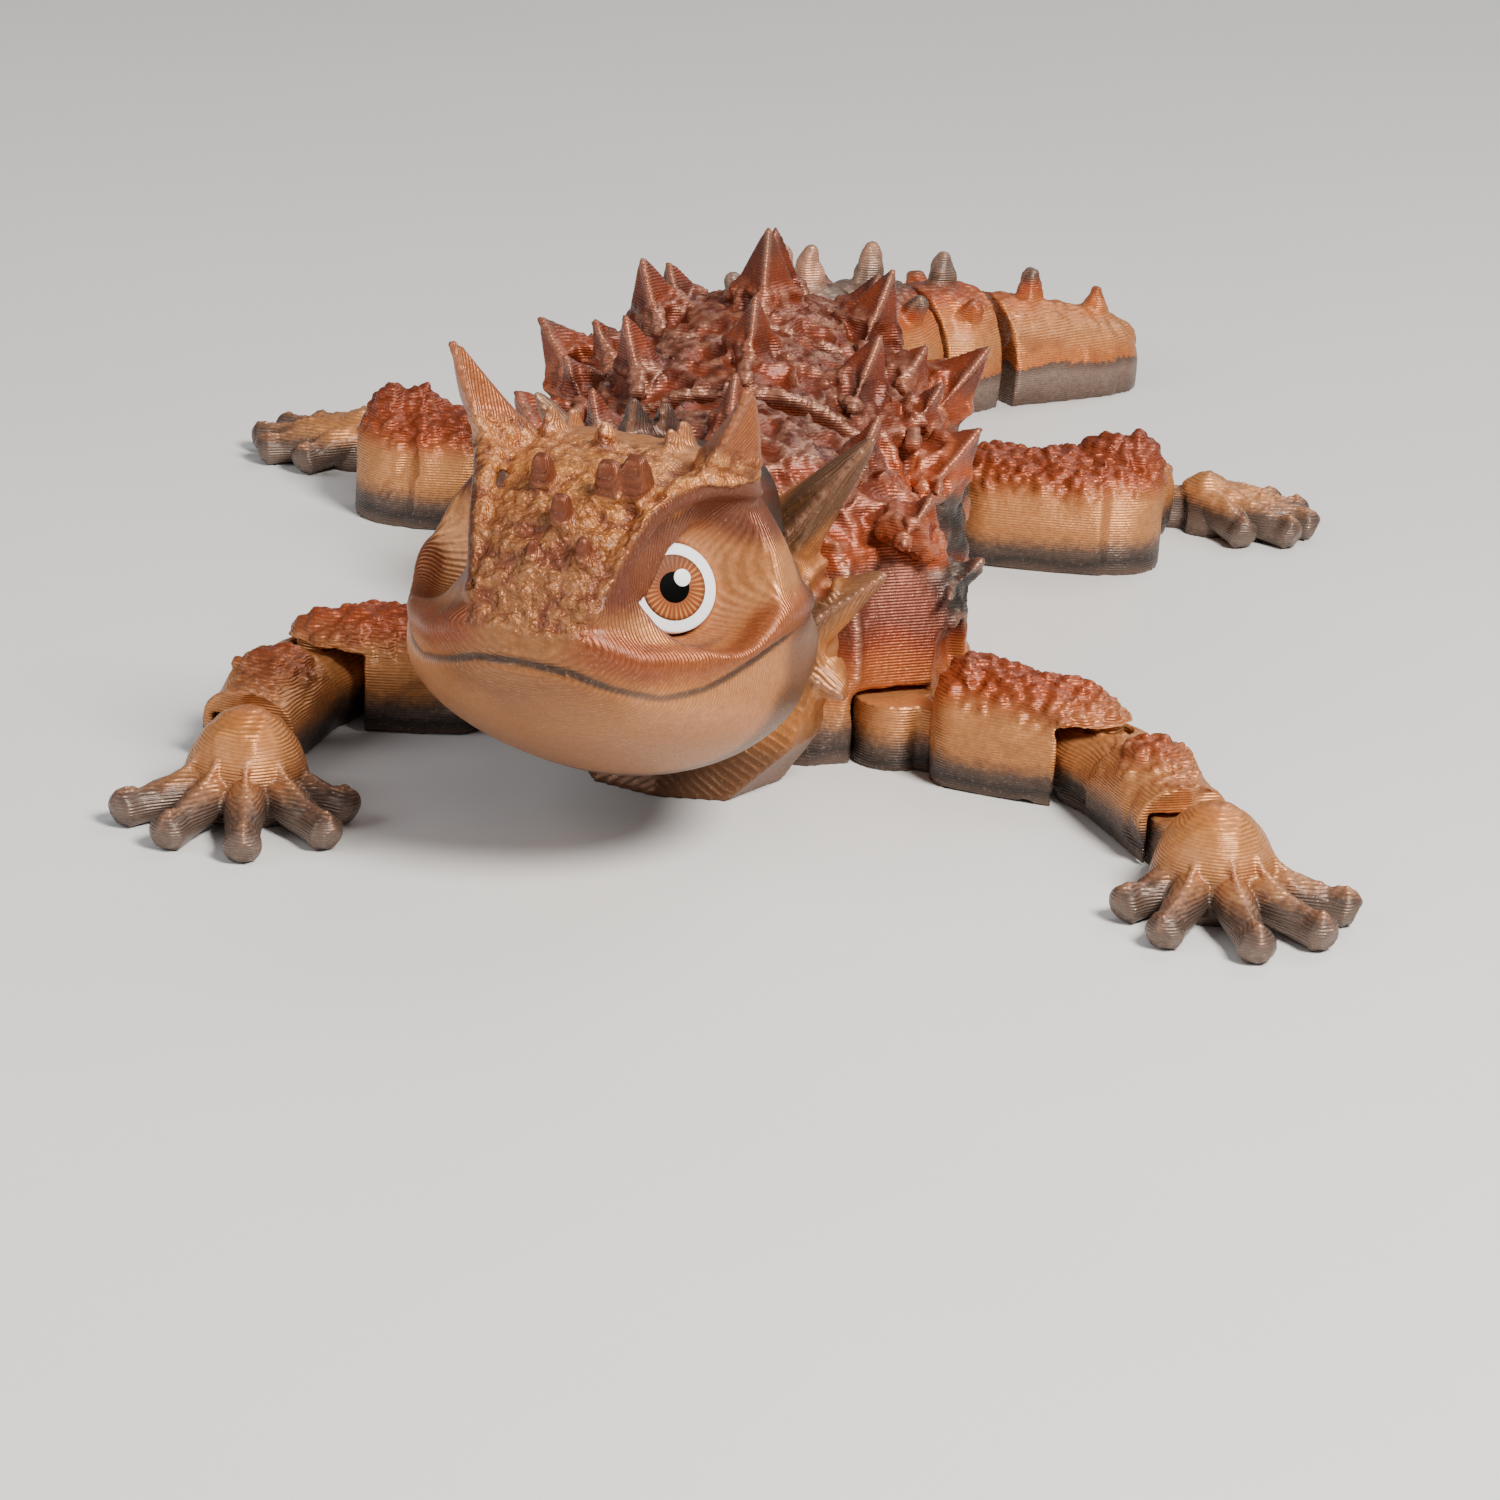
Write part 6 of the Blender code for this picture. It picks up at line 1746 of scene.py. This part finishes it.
def build_leg(side_name):
    side = SIDES[side_name]
    turns = TURNS[side_name]
    hip = girdle_spot(PIVOTS["hip"], chain_turn("hip"), HIP_REACH, HIP_BACK, side)
    knee = step(hip, turns["thigh"], THIGH_LENGTH)
    ankle = step(knee, turns["shin"], SHIN_LENGTH)

    front, rear = 3.9, THIGH_LENGTH + 3.2
    plain = limb_sizes(*LIMB_ENDS["thigh"])
    sizes = rounded_end(rounded_start(plain, front, rear, 2.6), front, rear, 4.4)
    body = segment_body(front, rear, sizes, 0.0, 0.0, ROUNDED_SHARES)
    shin_turn = turned_by(turns["thigh"], turns["shin"])
    cuts = pocket(*SHIN_TONGUE, (0.0, THIGH_LENGTH),
                  mouth=(shin_turn - BEND_SWING, shin_turn + BEND_SWING, 7.5))
    cap = [thorn((-KNEE_BACK * side, THIGH_LENGTH + along, 7.2), (-0.25 * side, 0.1, 1.0), 2.5, 2.5, 12,
                 0.8, flat=1.0, hollow=-0.3)[0] for along in KNEE_BUMPS]
    cast("thigh_" + side_name, [body] + cap + tongue(*THIGH_TONGUE, front + 2.0), cuts, LIMB_SILK,
         place(hip, turns["thigh"]), VOXELS["thigh"], limb_relief(plain, front, rear, 23.0 * side),
         warts=(1.3, 0.55, 6.0, 12.0, front + 1.0, rear - 0.8))

    front, rear = 6.3, SHIN_LENGTH + 2.0
    plain = limb_sizes(*LIMB_ENDS["shin"])
    body = segment_body(front, rear, rounded_start(plain, front, rear, 2.0), 0.0, 0.0, ROUNDED_SHARES)
    foot_turn = turned_by(turns["shin"], turns["foot"])
    cuts = pocket(*FOOT_TONGUE, (0.0, SHIN_LENGTH),
                  mouth=(foot_turn - BEND_SWING, foot_turn + BEND_SWING, 6.0))
    cast("shin_" + side_name, [body] + tongue(*SHIN_TONGUE, front + 1.5), cuts, LIMB_SILK,
         place(knee, turns["shin"]), VOXELS["shin"], limb_relief(plain, front, rear, 29.0 * side),
         warts=(1.2, 0.46, 4.6, 9.0, front + 0.8, rear - 2.4))

    build_paw("foot_" + side_name, FOOT_TOES, -side, SOLE_REACH, 3.0, 4.4, 3.8, FOOT_TONGUE,
              place(ankle, turns["foot"]))


ROUNDED_SHARES = [0.0] + [0.5 - 0.5 * math.cos(math.pi * share) for share in even_shares(37)[1:-1]] + [0.995]
GLINT_SPOT = (0.45, 0.65)
THORN_WAY = (0.0, -0.5, 0.87)
JAW_DARK = (12.8, -9.0, 2.2)
# Feet in plan, and darkness, of the crown's thorns that end in dark plastic
ASHEN_TIPS = ((-3.6, -1.0, 0.8), (-6.4, -1.4, 0.8), (-4.6, -13.0, 0.3))
LID_MIDDLE = tuple(eye_matrix(1.0) @ Vector((-0.8, 2.2, 1.2)))
LID_MIDDLE_END = tuple(eye_matrix(1.0) @ Vector((-2.6, -1.5, 1.2)))
HEAD_WORLD = (place(PIVOTS["head"], HEAD_TURN, HEAD_AXIS_HEIGHT)
              @ Matrix.Rotation(-math.radians(HEAD_PITCH), 4, "X"))
NOSE_WAY = (HEAD_WORLD.to_3x3() @ FRONT).normalized()
HEAD_REAR = (HEAD_WORLD @ Vector((0.0, RIM * MM, 0.0))).dot(NOSE_WAY) / MM

random.seed(7)
work = bpy.context.scene.collection
BEADS = bead_tree()
WARTS = wart_tree()
BODY_SILK = silk("silk_gradient_body", BODY_STOPS, BODY_RANGE, lines=0.6)
LIMB_SILK = silk("silk_gradient_limb", LIMB_STOPS, LIMB_RANGE)
TAIL_SILK = silk("silk_gradient_tail", TAIL_STOPS, TAIL_RANGE)
PAW_SILK = silk("silk_gradient_paw", PAW_STOPS, PAW_RANGE)
NECK_SILK = silk("silk_gradient_neck", NECK_STOPS, NECK_RANGE,
                 tuple((place((0, 0), NECK_TURN).to_3x3() @ FRONT).normalized()), NECK_START)
HEAD_SILK = silk("silk_gradient_head", HEAD_STOPS, HEAD_RANGE, tuple(NOSE_WAY), HEAD_REAR)
EYE_WHITE = eye_paint("enamel_white", (0.86, 0.87, 0.9), 0.28, rim=(0.7, 0.72, 0.8))
EYE_IRIS = eye_paint("enamel_iris", (0.20, 0.045, 0.008), 0.4, 34.0, (0.2, 0.06, 0.015), 0.15)
EYE_PUPIL = eye_paint("enamel_pupil", (0.001, 0.001, 0.001), 0.4, rim=(0.003, 0.002, 0.002), shine=0.02)
EYE_GLINT = eye_paint("enamel_glint", (0.92, 0.92, 0.94), 0.25)

build_shoulder()
build_chain()
build_tail_tip()
build_neck()
build_head()
for side_name in SIDES:
    build_arm(side_name)
    build_leg(side_name)


# Stage: places in metres, lens and sensor in millimetres

FLOOR_HALF = 4.0
FLOOR_DROP = 0.00003
LENS = 124.74
SENSOR = 36.0
CAMERA_SPOT = (0.0, -0.3345, 0.1218)
CAMERA_RIGHT = (0.99798, 0.02171, 0.05966)
CAMERA_UP = (-0.06349, 0.34133, 0.93779)
TOY_MIDDLE = (0.0, 0.03, 0.01)


def build_floor():
    bm = bmesh.new()
    bmesh.ops.create_grid(bm, x_segments=1, y_segments=1, size=FLOOR_HALF,
                          matrix=Matrix.Translation((0.0, 0.0, -FLOOR_DROP)))
    mesh = bpy.data.meshes.new("floor")
    bm.to_mesh(mesh)
    bm.free()
    floor = bpy.data.objects.new("floor", mesh)
    work.objects.link(floor)
    finish = Finish("pale_floor", Roughness=0.45)
    cloud = finish.cloud(finish.millimetres(), 0.02, 3.0)
    colour = finish.mixed((0.72, 0.71, 0.69), (0.78, 0.77, 0.75), cloud)
    mesh.materials.append(finish.paint(Base_Color=colour))


def softbox(name, where, target, size, power, colour=(1.0, 1.0, 1.0)):
    light = bpy.data.lights.new(name, "AREA")
    light.shape = "DISK"
    light.size = size
    light.energy = power
    light.color = colour
    obj = bpy.data.objects.new(name, light)
    obj.location = where
    obj.rotation_euler = (Vector(target) - Vector(where)).to_track_quat("-Z", "Y").to_euler()
    work.objects.link(obj)


def build_camera():
    camera = bpy.data.cameras.new("camera")
    camera.lens = LENS
    camera.sensor_width = SENSOR
    camera.clip_start = 0.01
    obj = bpy.data.objects.new("camera", camera)
    right = Vector(CAMERA_RIGHT).normalized()
    back = right.cross(Vector(CAMERA_UP).normalized()).normalized()
    obj.matrix_world = Matrix.Translation(CAMERA_SPOT) @ Matrix(
        (right, back.cross(right), back)).transposed().to_4x4()
    work.objects.link(obj)
    bpy.context.scene.camera = obj


build_floor()
build_camera()
softbox("key", (0.19, -0.22, 0.34), (0.0, 0.02, 0.01), 0.15, 3.9, (1.0, 0.96, 0.91))
softbox("fill", (-0.34, -0.2, 0.24), TOY_MIDDLE, 0.3, 0.8, (0.96, 0.98, 1.0))
softbox("rear", (0.2, 0.3, 0.35), TOY_MIDDLE, 0.3, 0.7)
world = bpy.data.worlds.new("studio")
world.use_nodes = True
world.node_tree.nodes["Background"].inputs["Color"].default_value = (0.9, 0.93, 1.0, 1.0)
world.node_tree.nodes["Background"].inputs["Strength"].default_value = 0.22
bpy.context.scene.world = world
